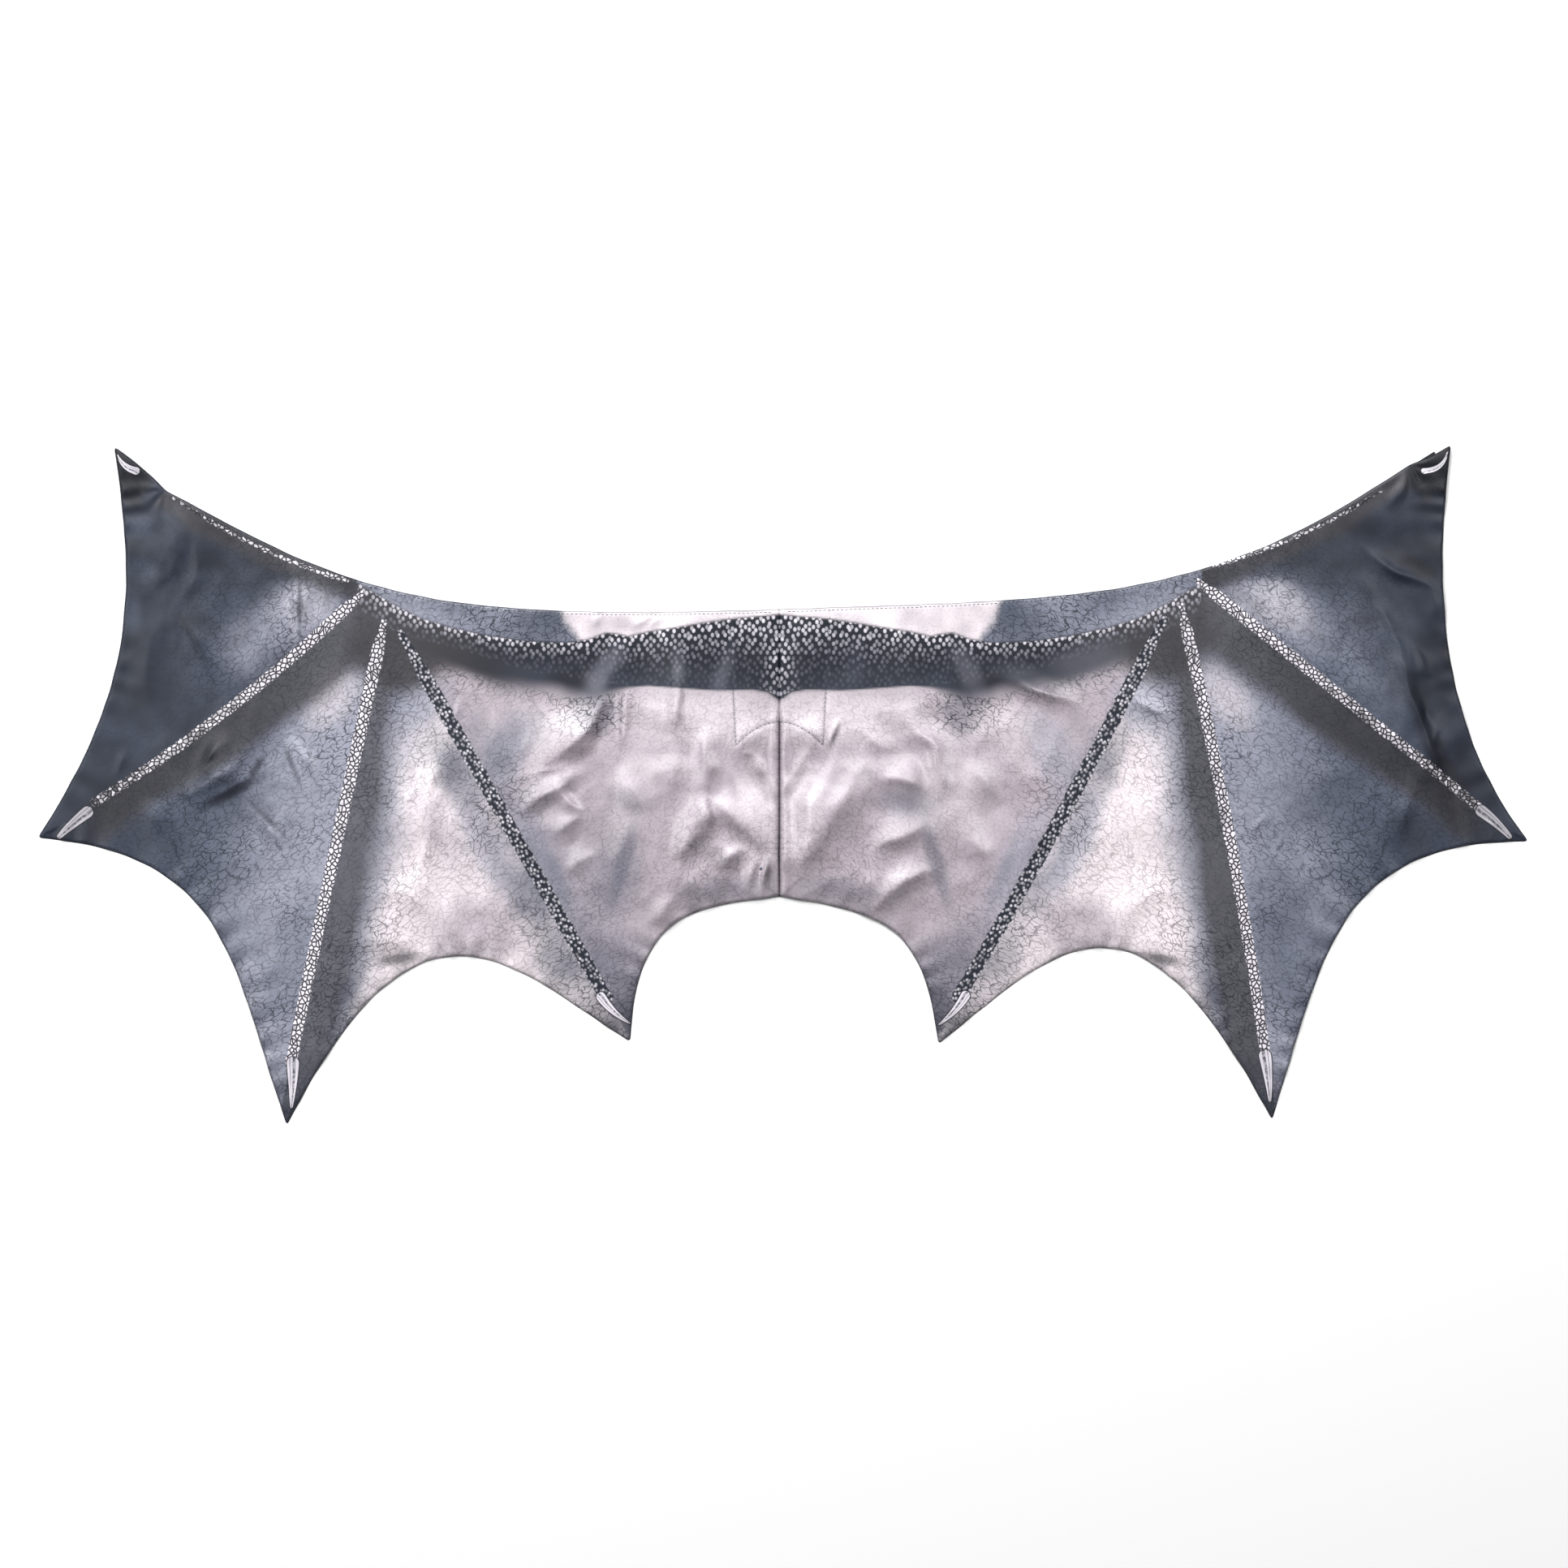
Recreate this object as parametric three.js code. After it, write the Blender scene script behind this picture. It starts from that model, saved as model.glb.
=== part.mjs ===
// Fabric dragon wings lying face up: two satin wings sewn together down the centre back, with a yoke patch,
// two elastic shoulder loops and two elastic finger loops behind them.
// Millimetres: +X along the span, +Y towards the neck edge, +Z up from the surface that they lie on.
// The origin is on that surface, under the middle of the wings.
import * as THREE from "three";

// Cloth and elastic
const SATIN_WALL = 1.4;
const PATCH_WALL = 1;
const ELASTIC_WALL = 0.9;
const CLEARANCE = 0.3;

// The centre back seam lies a little left of the middle of the span
const SEAM_X = -3;
const SIDES = { left: -1, right: 1 };

// Corners of each wing: [out from the seam, up towards the neck]
const CORNERS = {
  neck: { left: [CLEARANCE / 2, 144], right: [CLEARANCE / 2, 144] },
  tuck: { left: [502, 241], right: [515, 262] },
  wrist: { left: [544, 277], right: [549, 278.5] },
  finger1: { left: [607, -43], right: [613, -46] },
  finger2: { left: [403, -278.5], right: [403, -274] },
  finger3: { left: [122, -210], right: [130, -212] },
  hem: { left: [CLEARANCE / 2, -91], right: [CLEARANCE / 2, -91] },
};

// Edges between the corners. leave and arrive are headings in degrees, 0 being straight out from the seam.
// pull and draw say how far the edge keeps to those headings, as shares of the straight way across.
const EDGES = {
  neckline: {
    from: "neck",
    to: "tuck",
    left: { leave: -2, pull: 0.6, arrive: 28, draw: 0.34 },
    right: { leave: 2, pull: 0.5, arrive: 34, draw: 0.38 },
  },
  tip: {
    from: "tuck",
    to: "wrist",
    left: { leave: 50, pull: 0.33, arrive: 34, draw: 0.33 },
    right: { leave: 20, pull: 0.33, arrive: 33, draw: 0.33 },
  },
  outer: {
    from: "wrist",
    to: "finger1",
    left: { leave: -99, pull: 0.4, arrive: -57, draw: 0.42 },
    right: { leave: -97, pull: 0.36, arrive: -52, draw: 0.36 },
  },
  scallop1: {
    from: "finger1",
    to: "finger2",
    left: { leave: 185, pull: 0.51, arrive: -109, draw: 0.45 },
    right: { leave: 180, pull: 0.5, arrive: -107, draw: 0.48 },
  },
  scallop2: {
    from: "finger2",
    to: "finger3",
    left: { leave: 117, pull: 0.84, arrive: 212, draw: 0.4 },
    right: { leave: 118, pull: 0.85, arrive: 219, draw: 0.47 },
  },
  scallop3: {
    from: "finger3",
    to: "hem",
    left: { leave: 93, pull: 0.66, arrive: 172, draw: 0.39 },
    right: { leave: 98, pull: 0.55, arrive: 171, draw: 0.52 },
  },
};

// Gores from the seam outwards. Each ends at a line that leaves the neck edge at a share of its length.
const GORES = [
  { columns: 15, leavesAt: 0.49, tip: "finger3", hem: "scallop3" },
  { columns: 13, leavesAt: 0.53, tip: "finger2", hem: "scallop2" },
  { columns: 13, leavesAt: 0.57, tip: "finger1", hem: "scallop1" },
  { columns: 9, leavesAt: 0.61, tip: "wrist", hem: "outer" },
];
const ROWS = 23;

// Folds in the satin: a ridge between two points, with its sideways bow, half width and height
const FOLDS = [
  { wing: "left", from: [476, 1], to: [422, 32], bow: 8, reach: 10, height: 7 },
  { wing: "left", from: [482, -28], to: [415, 2], bow: 6, reach: 10, height: 5 },
  { wing: "left", from: [516, -17], to: [507, -50], bow: 0, reach: 9, height: 4 },
  { wing: "left", from: [527, 249], to: [518, 139], bow: -42, reach: 16, height: 5 },
  { wing: "left", from: [488, 139], to: [459, 97], bow: 3, reach: 10, height: 4 },
  { wing: "left", from: [392, 180], to: [391, 116], bow: 0, reach: 9, height: 4 },
  { wing: "left", from: [403, 38], to: [380, 0], bow: -5, reach: 9, height: 4 },
  { wing: "left", from: [431, -10], to: [397, -50], bow: 4, reach: 9, height: 4 },
  { wing: "left", from: [270, 40], to: [290, -62], bow: 3, reach: 10, height: 6 },
  { wing: "left", from: [288, -50], to: [294, -108], bow: 3, reach: 14, height: 4 },
  { wing: "left", from: [143, 90], to: [208, 14], bow: 12, reach: 13, height: 7 },
  { wing: "left", from: [160, 16], to: [220, -24], bow: 0, reach: 12, height: 6 },
  { wing: "left", from: [158, -14], to: [192, -46], bow: -8, reach: 11, height: 5 },
  { wing: "left", from: [131, 84], to: [131, 30], bow: 0, reach: 9, height: 3 },
  { wing: "left", from: [84, 80], to: [96, -8], bow: 4, reach: 11, height: 5 },
  { wing: "left", from: [78, 42], to: [62, -52], bow: 4, reach: 11, height: 5 },
  { wing: "left", from: [34, 0], to: [6, -44], bow: 0, reach: 10, height: 5 },
  { wing: "left", from: [20, -50], to: [48, -84], bow: -5, reach: 10, height: 5 },
  { wing: "right", from: [14, 12], to: [6, -86], bow: 0, reach: 10, height: 5 },
  { wing: "right", from: [80, 22], to: [128, 2], bow: 0, reach: 12, height: 5 },
  { wing: "right", from: [80, -56], to: [128, -24], bow: 0, reach: 12, height: 5 },
  { wing: "right", from: [66, -90], to: [106, -75], bow: 0, reach: 10, height: 4 },
  { wing: "right", from: [104, 52], to: [140, -12], bow: 10, reach: 11, height: 4 },
  { wing: "right", from: [174, 90], to: [250, 62], bow: 0, reach: 12, height: 6 },
  { wing: "right", from: [280, 72], to: [320, 54], bow: 0, reach: 10, height: 4 },
  { wing: "right", from: [478, 160], to: [557, -50], bow: 5, reach: 12, height: 7 },
  { wing: "right", from: [518, 12], to: [505, -48], bow: 3, reach: 10, height: 5 },
  { wing: "right", from: [482, 186], to: [542, 160], bow: -3, reach: 10, height: 4 },
  { wing: "right", from: [516, 256], to: [498, 226], bow: 0, reach: 9, height: 4 },
  { wing: "right", from: [513, 120], to: [531, 82], bow: 0, reach: 10, height: 4 },
];

// Yoke patch behind the centre, lying on the surface: half widths at the top and the foot, and its arched foot
const YOKE = { top: 141, halfTop: 43, foot: 33, halfFoot: 37, arch: 19 };

// Elastic loops, pressed flat: middle [out, up], heading of the long way, length, width and the slit left inside
const SHOULDER_LOOP = { middle: [66.8, 30], heading: -78, length: 160, width: 18, slit: 1.4 };
const FINGER_LOOPS = {
  left: { middle: [509.5, 240.5], heading: 36, length: 42, width: 9, slit: 0.5 },
  right: { middle: [520, 258], heading: 32, length: 42, width: 9, slit: 0.5 },
};

// The satin rises over what lies behind it: level for a margin round the piece, then falling away
const RISE = { margin: 20, fall: 34 };

const COLOURS = { satin: 0x777a86, patch: 0x5b5d66, elastic: 0x1d1d21 };

function heading(degrees) {
  const angle = THREE.MathUtils.degToRad(degrees);
  return new THREE.Vector2(Math.cos(angle), Math.sin(angle));
}

function corner(name, side) {
  return new THREE.Vector2(...CORNERS[name][side]);
}

function edgeCurve(edge, side) {
  const from = corner(edge.from, side);
  const to = corner(edge.to, side);
  const across = from.distanceTo(to);
  const { leave, pull, arrive, draw } = edge[side];
  const afterFrom = from.clone().addScaledVector(heading(leave), pull * across);
  const beforeTo = to.clone().addScaledVector(heading(arrive), -draw * across);
  return new THREE.CubicBezierCurve(from, afterFrom, beforeTo, to);
}

// The whole upper edge, from the neck over the tuck to the wrist tip
function upperEdge(side) {
  const edge = new THREE.CurvePath();
  edge.add(edgeCurve(EDGES.neckline, side));
  edge.add(edgeCurve(EDGES.tip, side));
  return edge;
}

// A patch filled in between its four sides, each a function of a share from 0 to 1
function blendSides(sides, across, down) {
  const { top, foot, inner, outer } = sides;
  const point = new THREE.Vector2();
  point.addScaledVector(top(across), 1 - down);
  point.addScaledVector(foot(across), down);
  point.addScaledVector(inner(down), 1 - across);
  point.addScaledVector(outer(down), across);
  point.addScaledVector(top(0), -(1 - across) * (1 - down));
  point.addScaledVector(top(1), -across * (1 - down));
  point.addScaledVector(foot(0), -(1 - across) * down);
  point.addScaledVector(foot(1), -across * down);
  return point;
}

// The flat pattern of a wing: rows of points from the neck edge down to the hem, each from the seam outwards
function flatPattern(side) {
  const upper = upperEdge(side);
  const rows = Array.from({ length: ROWS + 1 }, () => []);
  let innerShare = 0;
  let inner = new THREE.LineCurve(corner("neck", side), corner("hem", side));
  for (const gore of GORES) {
    const startShare = innerShare;
    const startLine = inner;
    const endShare = gore.leavesAt;
    const last = gore.tip === "wrist";
    const endLine = new THREE.LineCurve(upper.getPointAt(endShare), corner(gore.tip, side));
    const hem = edgeCurve(EDGES[gore.hem], side);
    const sides = {
      top: (share) => upper.getPointAt(startShare + (endShare - startShare) * share),
      foot: (share) => hem.getPointAt(1 - share),
      inner: (share) => startLine.getPointAt(share),
      outer: (share) => (last ? upper.getPointAt(endShare + (1 - endShare) * share) : endLine.getPointAt(share)),
    };
    const firstColumn = startShare === 0 ? 0 : 1;
    rows.forEach((row, index) => {
      for (let column = firstColumn; column <= gore.columns; column += 1) {
        row.push(blendSides(sides, column / gore.columns, index / ROWS));
      }
    });
    innerShare = endShare;
    inner = endLine;
  }
  return rows;
}

// Height of one fold at a point: a bowed ridge that dies away at both ends
function foldHeight(fold, point) {
  const from = new THREE.Vector2(...fold.from);
  const run = new THREE.Vector2(...fold.to).sub(from);
  const offset = point.clone().sub(from);
  const share = offset.dot(run) / run.lengthSq();
  if (share <= 0 || share >= 1) return 0;
  const bowed = 4 * fold.bow * share * (1 - share);
  const across = run.cross(offset) / run.length() - bowed;
  return fold.height * Math.sin(Math.PI * share) * Math.exp(-((across / fold.reach) ** 2));
}

// How far the satin is lifted by one piece behind it
function liftOver(piece, point) {
  const run = piece.to.clone().sub(piece.from);
  const share = THREE.MathUtils.clamp(point.clone().sub(piece.from).dot(run) / run.lengthSq(), 0, 1);
  const nearest = piece.from.clone().addScaledVector(run, share);
  const level = piece.halfWidth + RISE.margin;
  const fade = THREE.MathUtils.smoothstep(point.distanceTo(nearest), level, level + RISE.fall);
  return (piece.thickness + CLEARANCE) * (1 - fade);
}

function loopThickness(loop) {
  return 2 * ELASTIC_WALL + loop.slit;
}

// The middle line, half width and thickness of each piece behind a wing
function piecesBehind(side) {
  const loops = [SHOULDER_LOOP, FINGER_LOOPS[side]].map((loop) => {
    const half = heading(loop.heading).multiplyScalar(loop.length / 2);
    const middle = new THREE.Vector2(...loop.middle);
    const from = middle.clone().sub(half);
    return { from, to: middle.add(half), halfWidth: loop.width / 2, thickness: loopThickness(loop) };
  });
  const yoke = {
    from: new THREE.Vector2(0, YOKE.foot),
    to: new THREE.Vector2(0, YOKE.top),
    halfWidth: YOKE.halfTop,
    thickness: PATCH_WALL,
  };
  return [...loops, yoke];
}

// A wing: its flat pattern raised by the folds and by the pieces behind, as a wall of even thickness
function wingGeometry(side) {
  const rows = flatPattern(side);
  const folds = FOLDS.filter((fold) => fold.wing === side);
  const behind = piecesBehind(side);
  const columns = rows[0].length;
  const undersides = [];
  const tops = [];
  for (const point of rows.flat()) {
    const folded = folds.reduce((sum, fold) => sum + foldHeight(fold, point), 0);
    const lifted = Math.max(...behind.map((piece) => liftOver(piece, point)));
    const x = SEAM_X + SIDES[side] * point.x;
    undersides.push(x, point.y, folded + lifted);
    tops.push(x, point.y, folded + lifted + SATIN_WALL);
  }

  const count = rows.length * columns;
  const triangles = [];
  const quad = (a, b, c, d) => triangles.push(a, b, c, a, c, d);
  for (let row = 0; row < ROWS; row += 1) {
    for (let column = 0; column < columns - 1; column += 1) {
      const a = row * columns + column;
      const b = a + columns;
      quad(count + a, count + b, count + b + 1, count + a + 1);
      quad(a, a + 1, b + 1, b);
    }
  }

  const rim = [];
  for (let row = 0; row < ROWS; row += 1) rim.push(row * columns);
  for (let column = 0; column < columns - 1; column += 1) rim.push(ROWS * columns + column);
  for (let row = ROWS; row > 0; row -= 1) rim.push(row * columns + columns - 1);
  for (let column = columns - 1; column > 0; column -= 1) rim.push(column);
  rim.forEach((a, index) => {
    const b = rim[(index + 1) % rim.length];
    quad(a, b, count + b, count + a);
  });
  if (SIDES[side] < 0) triangles.reverse();

  const geometry = new THREE.BufferGeometry();
  geometry.setAttribute("position", new THREE.Float32BufferAttribute([...undersides, ...tops], 3));
  geometry.setIndex(triangles);
  geometry.computeVertexNormals();
  return geometry;
}

function yokeGeometry() {
  const outline = new THREE.Shape();
  outline.moveTo(-YOKE.halfTop, YOKE.top);
  outline.lineTo(-YOKE.halfFoot, YOKE.foot);
  outline.quadraticCurveTo(0, YOKE.foot + 2 * YOKE.arch, YOKE.halfFoot, YOKE.foot);
  outline.lineTo(YOKE.halfTop, YOKE.top);
  outline.closePath();
  return new THREE.ExtrudeGeometry(outline, { depth: PATCH_WALL, bevelEnabled: false, curveSegments: 10 });
}

// The edge view of a band pressed flat, as a path of the given length and thickness
function pressedLoop(path, length, thickness) {
  const radius = thickness / 2;
  const half = length / 2 - radius;
  path.moveTo(-half, -radius);
  path.lineTo(half, -radius);
  path.absarc(half, 0, radius, -Math.PI / 2, Math.PI / 2, false);
  path.lineTo(-half, radius);
  path.absarc(-half, 0, radius, Math.PI / 2, (3 * Math.PI) / 2, false);
  return path;
}

function elasticLoopGeometry(loop) {
  const { length, width, slit } = loop;
  const outline = pressedLoop(new THREE.Shape(), length, loopThickness(loop));
  outline.holes.push(pressedLoop(new THREE.Path(), length - 2 * ELASTIC_WALL, slit));
  const geometry = new THREE.ExtrudeGeometry(outline, { depth: width, bevelEnabled: false, curveSegments: 6 });
  geometry.translate(0, 0, -width / 2);
  geometry.rotateX(Math.PI / 2);
  return geometry;
}

function named(name, geometry, color, roughness) {
  const mesh = new THREE.Mesh(geometry, new THREE.MeshStandardMaterial({ color, roughness, metalness: 0 }));
  mesh.name = name;
  return mesh;
}

function placedLoop(name, loop, side) {
  const mesh = named(name, elasticLoopGeometry(loop), COLOURS.elastic, 0.85);
  const [out, up] = loop.middle;
  mesh.position.set(SEAM_X + SIDES[side] * out, up, loopThickness(loop) / 2);
  mesh.rotation.z = SIDES[side] * THREE.MathUtils.degToRad(loop.heading);
  return mesh;
}

const wings = new THREE.Group();
for (const side of Object.keys(SIDES)) {
  wings.add(named(`${side}_wing`, wingGeometry(side), COLOURS.satin, 0.42));
  wings.add(placedLoop(`shoulder_loop_${side}`, SHOULDER_LOOP, side));
  wings.add(placedLoop(`finger_loop_${side}`, FINGER_LOOPS[side], side));
}
const yoke = named("yoke_patch", yokeGeometry(), COLOURS.patch, 0.6);
yoke.position.x = SEAM_X;
wings.add(yoke);

export default wings;
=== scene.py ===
"""Costume dragon wings lying face up: two printed satin wings with folds, turned hems and stitching.

The script is laid out as an add-on, with one operator for each kind of piece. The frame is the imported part's:
metres, +X along the span, +Y towards the neck edge, +Z up. Tables are in millimetres, as (out from the centre
back seam, up towards the neck edge), and each wing is worked out there before it is put in the frame.
"""
import math
from collections import namedtuple

import bpy
import numpy as np
from bpy.props import FloatProperty, FloatVectorProperty, IntProperty, PointerProperty
from mathutils.geometry import delaunay_2d_cdt
from mathutils.kdtree import KDTree
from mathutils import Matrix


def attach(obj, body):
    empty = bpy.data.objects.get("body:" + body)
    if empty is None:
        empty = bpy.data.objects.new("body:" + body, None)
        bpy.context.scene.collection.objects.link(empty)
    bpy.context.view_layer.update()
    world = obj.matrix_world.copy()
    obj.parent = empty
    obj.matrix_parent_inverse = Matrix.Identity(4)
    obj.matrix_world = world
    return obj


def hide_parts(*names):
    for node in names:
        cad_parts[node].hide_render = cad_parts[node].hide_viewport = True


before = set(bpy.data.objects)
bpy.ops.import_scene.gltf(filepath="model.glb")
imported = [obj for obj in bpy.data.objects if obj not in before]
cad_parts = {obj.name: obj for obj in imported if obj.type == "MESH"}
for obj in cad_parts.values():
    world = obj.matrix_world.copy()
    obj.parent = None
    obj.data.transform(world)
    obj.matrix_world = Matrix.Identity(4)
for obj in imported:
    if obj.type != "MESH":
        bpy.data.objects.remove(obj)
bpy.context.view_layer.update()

bl_info = {
    "name": "Dragon wings",
    "version": (1, 0, 0),
    "blender": (4, 5, 0),
    "location": "3D View > Sidebar > Wings",
    "description": "Builds printed satin dragon wings laid face up",
    "category": "Object",
}

MM = 0.001
SEAM_X = -3
SIDES = {"left": -1, "right": 1}

# Corners of each wing
CORNERS = {
    "left": {
        "neck": (0.02, 144),
        "tuck": (502, 241),
        "wrist": (544, 277),
        "finger1": (607, -43),
        "finger2": (403, -278.5),
        "finger3": (122, -210),
        "hem": (0.02, -91),
    },
    "right": {
        "neck": (0.02, 144),
        "tuck": (515, 262),
        "wrist": (549, 278.5),
        "finger1": (613, -46),
        "finger2": (403, -274),
        "finger3": (130, -212),
        "hem": (0.02, -91),
    },
}

# Edges in order round a wing. leave and arrive are headings in degrees, 0 being straight out from the seam,
# pull and draw say how far the edge keeps to them, and pucker is the height of the ripples in its hem.
Edge = namedtuple("Edge", "start end leave pull arrive draw pucker")
EDGES = {
    "left": [
        Edge("neck", "tuck", -2, 0.6, 28, 0.34, 0.3),
        Edge("tuck", "wrist", 50, 0.33, 34, 0.33, 1.6),
        Edge("wrist", "finger1", -99, 0.4, -57, 0.42, 1.3),
        Edge("finger1", "finger2", 185, 0.51, -109, 0.45, 1.5),
        Edge("finger2", "finger3", 117, 0.84, 212, 0.4, 1.3),
        Edge("finger3", "hem", 93, 0.66, 172, 0.39, 1.3),
        Edge("hem", "neck", 90, 0.33, 90, 0.33, 0.35),
    ],
    "right": [
        Edge("neck", "tuck", 2, 0.5, 34, 0.38, 0.3),
        Edge("tuck", "wrist", 20, 0.33, 33, 0.33, 1.6),
        Edge("wrist", "finger1", -97, 0.36, -52, 0.36, 1.3),
        Edge("finger1", "finger2", 180, 0.5, -107, 0.48, 1.5),
        Edge("finger2", "finger3", 118, 0.85, 219, 0.47, 1.3),
        Edge("finger3", "hem", 98, 0.55, 171, 0.52, 1.3),
        Edge("hem", "neck", 90, 0.33, 90, 0.33, 0.35),
    ],
}

# A bowed fold in the cloth: its crest runs from start to end, left and right are how far its flanks reach on
# each side of someone walking along it on the plan, out being to the right and up ahead
Fold = namedtuple("Fold", "start end bow left right height")
FOLDS = {
    "left": [
        Fold((478, 10), (446, 38), 0, 6, 10, 3),
        Fold((498, -16), (425, 34), 2, 9, 14, 6),
        Fold((514, -6), (508, -46), 0, 7, 10, 2.2),
        Fold((482, 214), (488, 150), -10, 9, 14, 2.6),
        Fold((527, 240), (520, 150), -30, 16, 12, 3.4),
        Fold((491, 147), (458, 92), 3, 6, 11, 2.4),
        Fold((393, 190), (392, 106), 0, 6, 9, 2.2),
        Fold((406, 48), (378, -8), -6, 10, 5, 1.8),
        Fold((438, -6), (396, -50), 4, 10, 6, 2.2),
        Fold((268, 52), (291, -72), 3, 14, 9, 3.6),
        Fold((286, -40), (296, -116), 3, 16, 11, 3),
        Fold((141, 92), (206, 10), -16, 18, 8, 9),
        Fold((156, 18), (216, -26), 0, 13, 7, 6.5),
        Fold((187, 5), (156, -25), 2, 13, 6, 5.5),
        Fold((157, -20), (194, -47), -2, 14, 8, 5.5),
        Fold((80, 104), (83, 32), 0, 10, 6, 5),
        Fold((87, 48), (86, -24), 1, 13, 7, 3.6),
        Fold((60, 54), (63, -18), -2, 12, 9, 6),
        Fold((66, -2), (60, -52), -4, 20, 8, 7.5),
        Fold((58, -36), (92, -60), 0, 15, 7, 4.5),
        Fold((58, -6), (4, -56), 0, 11, 20, 9),
        Fold((56, -72), (17, -50), -3, 10, 11, 6),
        Fold((18, -48), (23, -95), 2, 7, 4, 4.5),
        Fold((12, -52), (11.5, -95), 1, 3.6, 4, 5),
        Fold((110, -116), (78, -84), 0, 9, 9, 3),
        Fold((178, -72), (140, -50), 0, 10, 10, 3),
        Fold((132, 20), (116, -24), 0, 13, 11, 3.6),
        Fold((2, 50), (44, 26), 0, 12, 16, 2.6),
    ],
    "right": [
        Fold((98, 44), (6, -100), -11, 20, 25, 10.5),
        Fold((2, 52), (44, 32), 0, 12, 20, 3.6),
        Fold((28, 26), (19, -94), 0, 10, 15, 5.5),
        Fold((54, 50), (98, 26), 0, 10, 10, 3),
        Fold((76, 6), (128, -4), 0, 16, 10, 6),
        Fold((92, 62), (135, -22), 13, 15, 10, 7.5),
        Fold((60, -108), (136, -64), 2, 13, 9, 6.5),
        Fold((72, -52), (130, -26), 0, 14, 10, 5.5),
        Fold((148, 24), (180, -20), 4, 13, 15, 4.5),
        Fold((138, -32), (178, -66), 0, 13, 12, 4.5),
        Fold((168, 92), (258, 60), 0, 11, 8, 5),
        Fold((276, 74), (326, 52), 0, 10, 8, 2.8),
        Fold((470, 190), (562, -64), 5, 7, 20, 6.5),
        Fold((515, 16), (503, -56), 3, 7, 13, 3.6),
        Fold((468, 200), (548, 156), -4, 10, 7, 3),
        Fold((514, 258), (500, 226), 0, 6, 6, 2.6),
        Fold((494, 114), (544, 88), -8, 9, 7, 3),
        Fold((550, 68), (536, 16), -6, 9, 7, 3),
        Fold((524, 174), (538, 116), 4, 9, 9, 2.4),
    ],
}

# Finer creases, too sharp for the part's wall
CREASES = {
    "left": [
        Fold((473, 16), (458, 38), 2, 3, 4, 1.4),
        Fold((478, -14), (424, 20), 6, 4, 5, 1.6),
        Fold((397, 178), (394, 117), 0, 2.6, 2.6, 1.4),
        Fold((389, 175), (390, 118), 0, 2.6, 2.6, 1.2),
        Fold((403, 41), (382, 0), -5, 3.5, 3, 1.2),
        Fold((534, 32), (543, 4), 0, 4, 4, 1.2),
        Fold((271, 32), (286, -24), -5, 3, 4, 1.0),
        Fold((296, 2), (306, -18), 0, 4, 4, 1.0),
        Fold((261, 74), (264, 51), 0, 3, 3, 1.2),
        Fold((171, 18), (211, 10), -2, 3, 4, 0.8),
        Fold((133, 80), (130, 27), 0, 2.4, 2, 1.9),
        Fold((123.5, 80), (127.5, 29), 0, 2, 2.4, 1.9),
        Fold((20, 27), (14, 3), 0, 4, 4, 1.6),
        Fold((29, 30), (24, 22), 0, 3, 3, 1.0),
        Fold((124, 128), (98, 143), 1, 4, 5, 1.6),
        Fold((110, 126), (92, 140), -1, 4, 3, 1.2),
        Fold((150, 128), (147, 143), 0, 3, 4, 1.2),
    ],
    "right": [
        Fold((51, 60), (40, 28), 0, 2.4, 4, 2.2),
        Fold((176, 88), (249, 63), 1, 4, 3, 1.4),
        Fold((289, 68), (316, 57), 0, 4, 3, 1.2),
        Fold((480, 150), (556, -48), 5, 3, 5, 1.8),
        Fold((472, 201), (540, 162), -8, 4, 3, 1.4),
        Fold((508, 249), (500, 232), 0, 3, 3, 1.4),
        Fold((514, 117), (528, 88), 3, 4, 4, 1.2),
        Fold((381, -45), (401, -20), 0, 4, 4, 1.2),
        Fold((20, 20), (31, 8), 0, 4, 4, 1.0),
    ],
}

# Patches of soft crumpling: middle, radius and height
Crumple = namedtuple("Crumple", "middle radius height")
CRUMPLES = {
    "left": [
        Crumple((70, -20), 150, 1.2),
        Crumple((180, 0), 110, 1.2),
        Crumple((280, -70), 110, 0.8),
        Crumple((440, 0), 100, 1.0),
        Crumple((520, 140), 130, 0.9),
        Crumple((380, -160), 120, 0.6),
        Crumple((400, 140), 90, 0.8),
    ],
    "right": [
        Crumple((70, -20), 150, 1.2),
        Crumple((170, 0), 110, 1.2),
        Crumple((280, -60), 110, 0.8),
        Crumple((530, 100), 140, 0.9),
        Crumple((440, -30), 110, 0.7),
        Crumple((380, -160), 120, 0.6),
        Crumple((400, 150), 90, 0.8),
    ],
}

# Printed bones: bowed lines with half widths at the root and the tip, and how pale their scales are at both
Bone = namedtuple("Bone", "start end bow root tip pale_root pale_tip")
BONES = {
    "left": {
        "finger1": Bone((341.2, 157.2), (559.6, -14), -7.4, 4.8, 3.7, 1.3, 0.4),
        "finger2": Bone((323.4, 133.5), (400, -228.8), 0.6, 5.3, 4.5, 1.0, 1.35),
        "finger3": Bone((309.8, 124.4), (141.4, -174.8), 0, 6.0, 5.5, 0.0, 0.0),
        "leading": Bone((346, 165), (495, 235), -6.9, 1.8, 1.4, 1.1, 0.3),
    },
    "right": {
        "finger1": Bone((342.1, 167.2), (574.4, -20.3), 0.2, 4.8, 3.7, 1.3, 0.4),
        "finger2": Bone((328.3, 147.4), (397.7, -222.5), 4.3, 5.0, 4.3, 0.9, 1.2),
        "finger3": Bone((314.2, 135.4), (146.8, -172.9), 3.2, 6.4, 5.5, 0.0, 0.0),
        "leading": Bone((348, 178), (491, 240), -6.5, 1.8, 1.4, 1.1, 0.3),
    },
}

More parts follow.
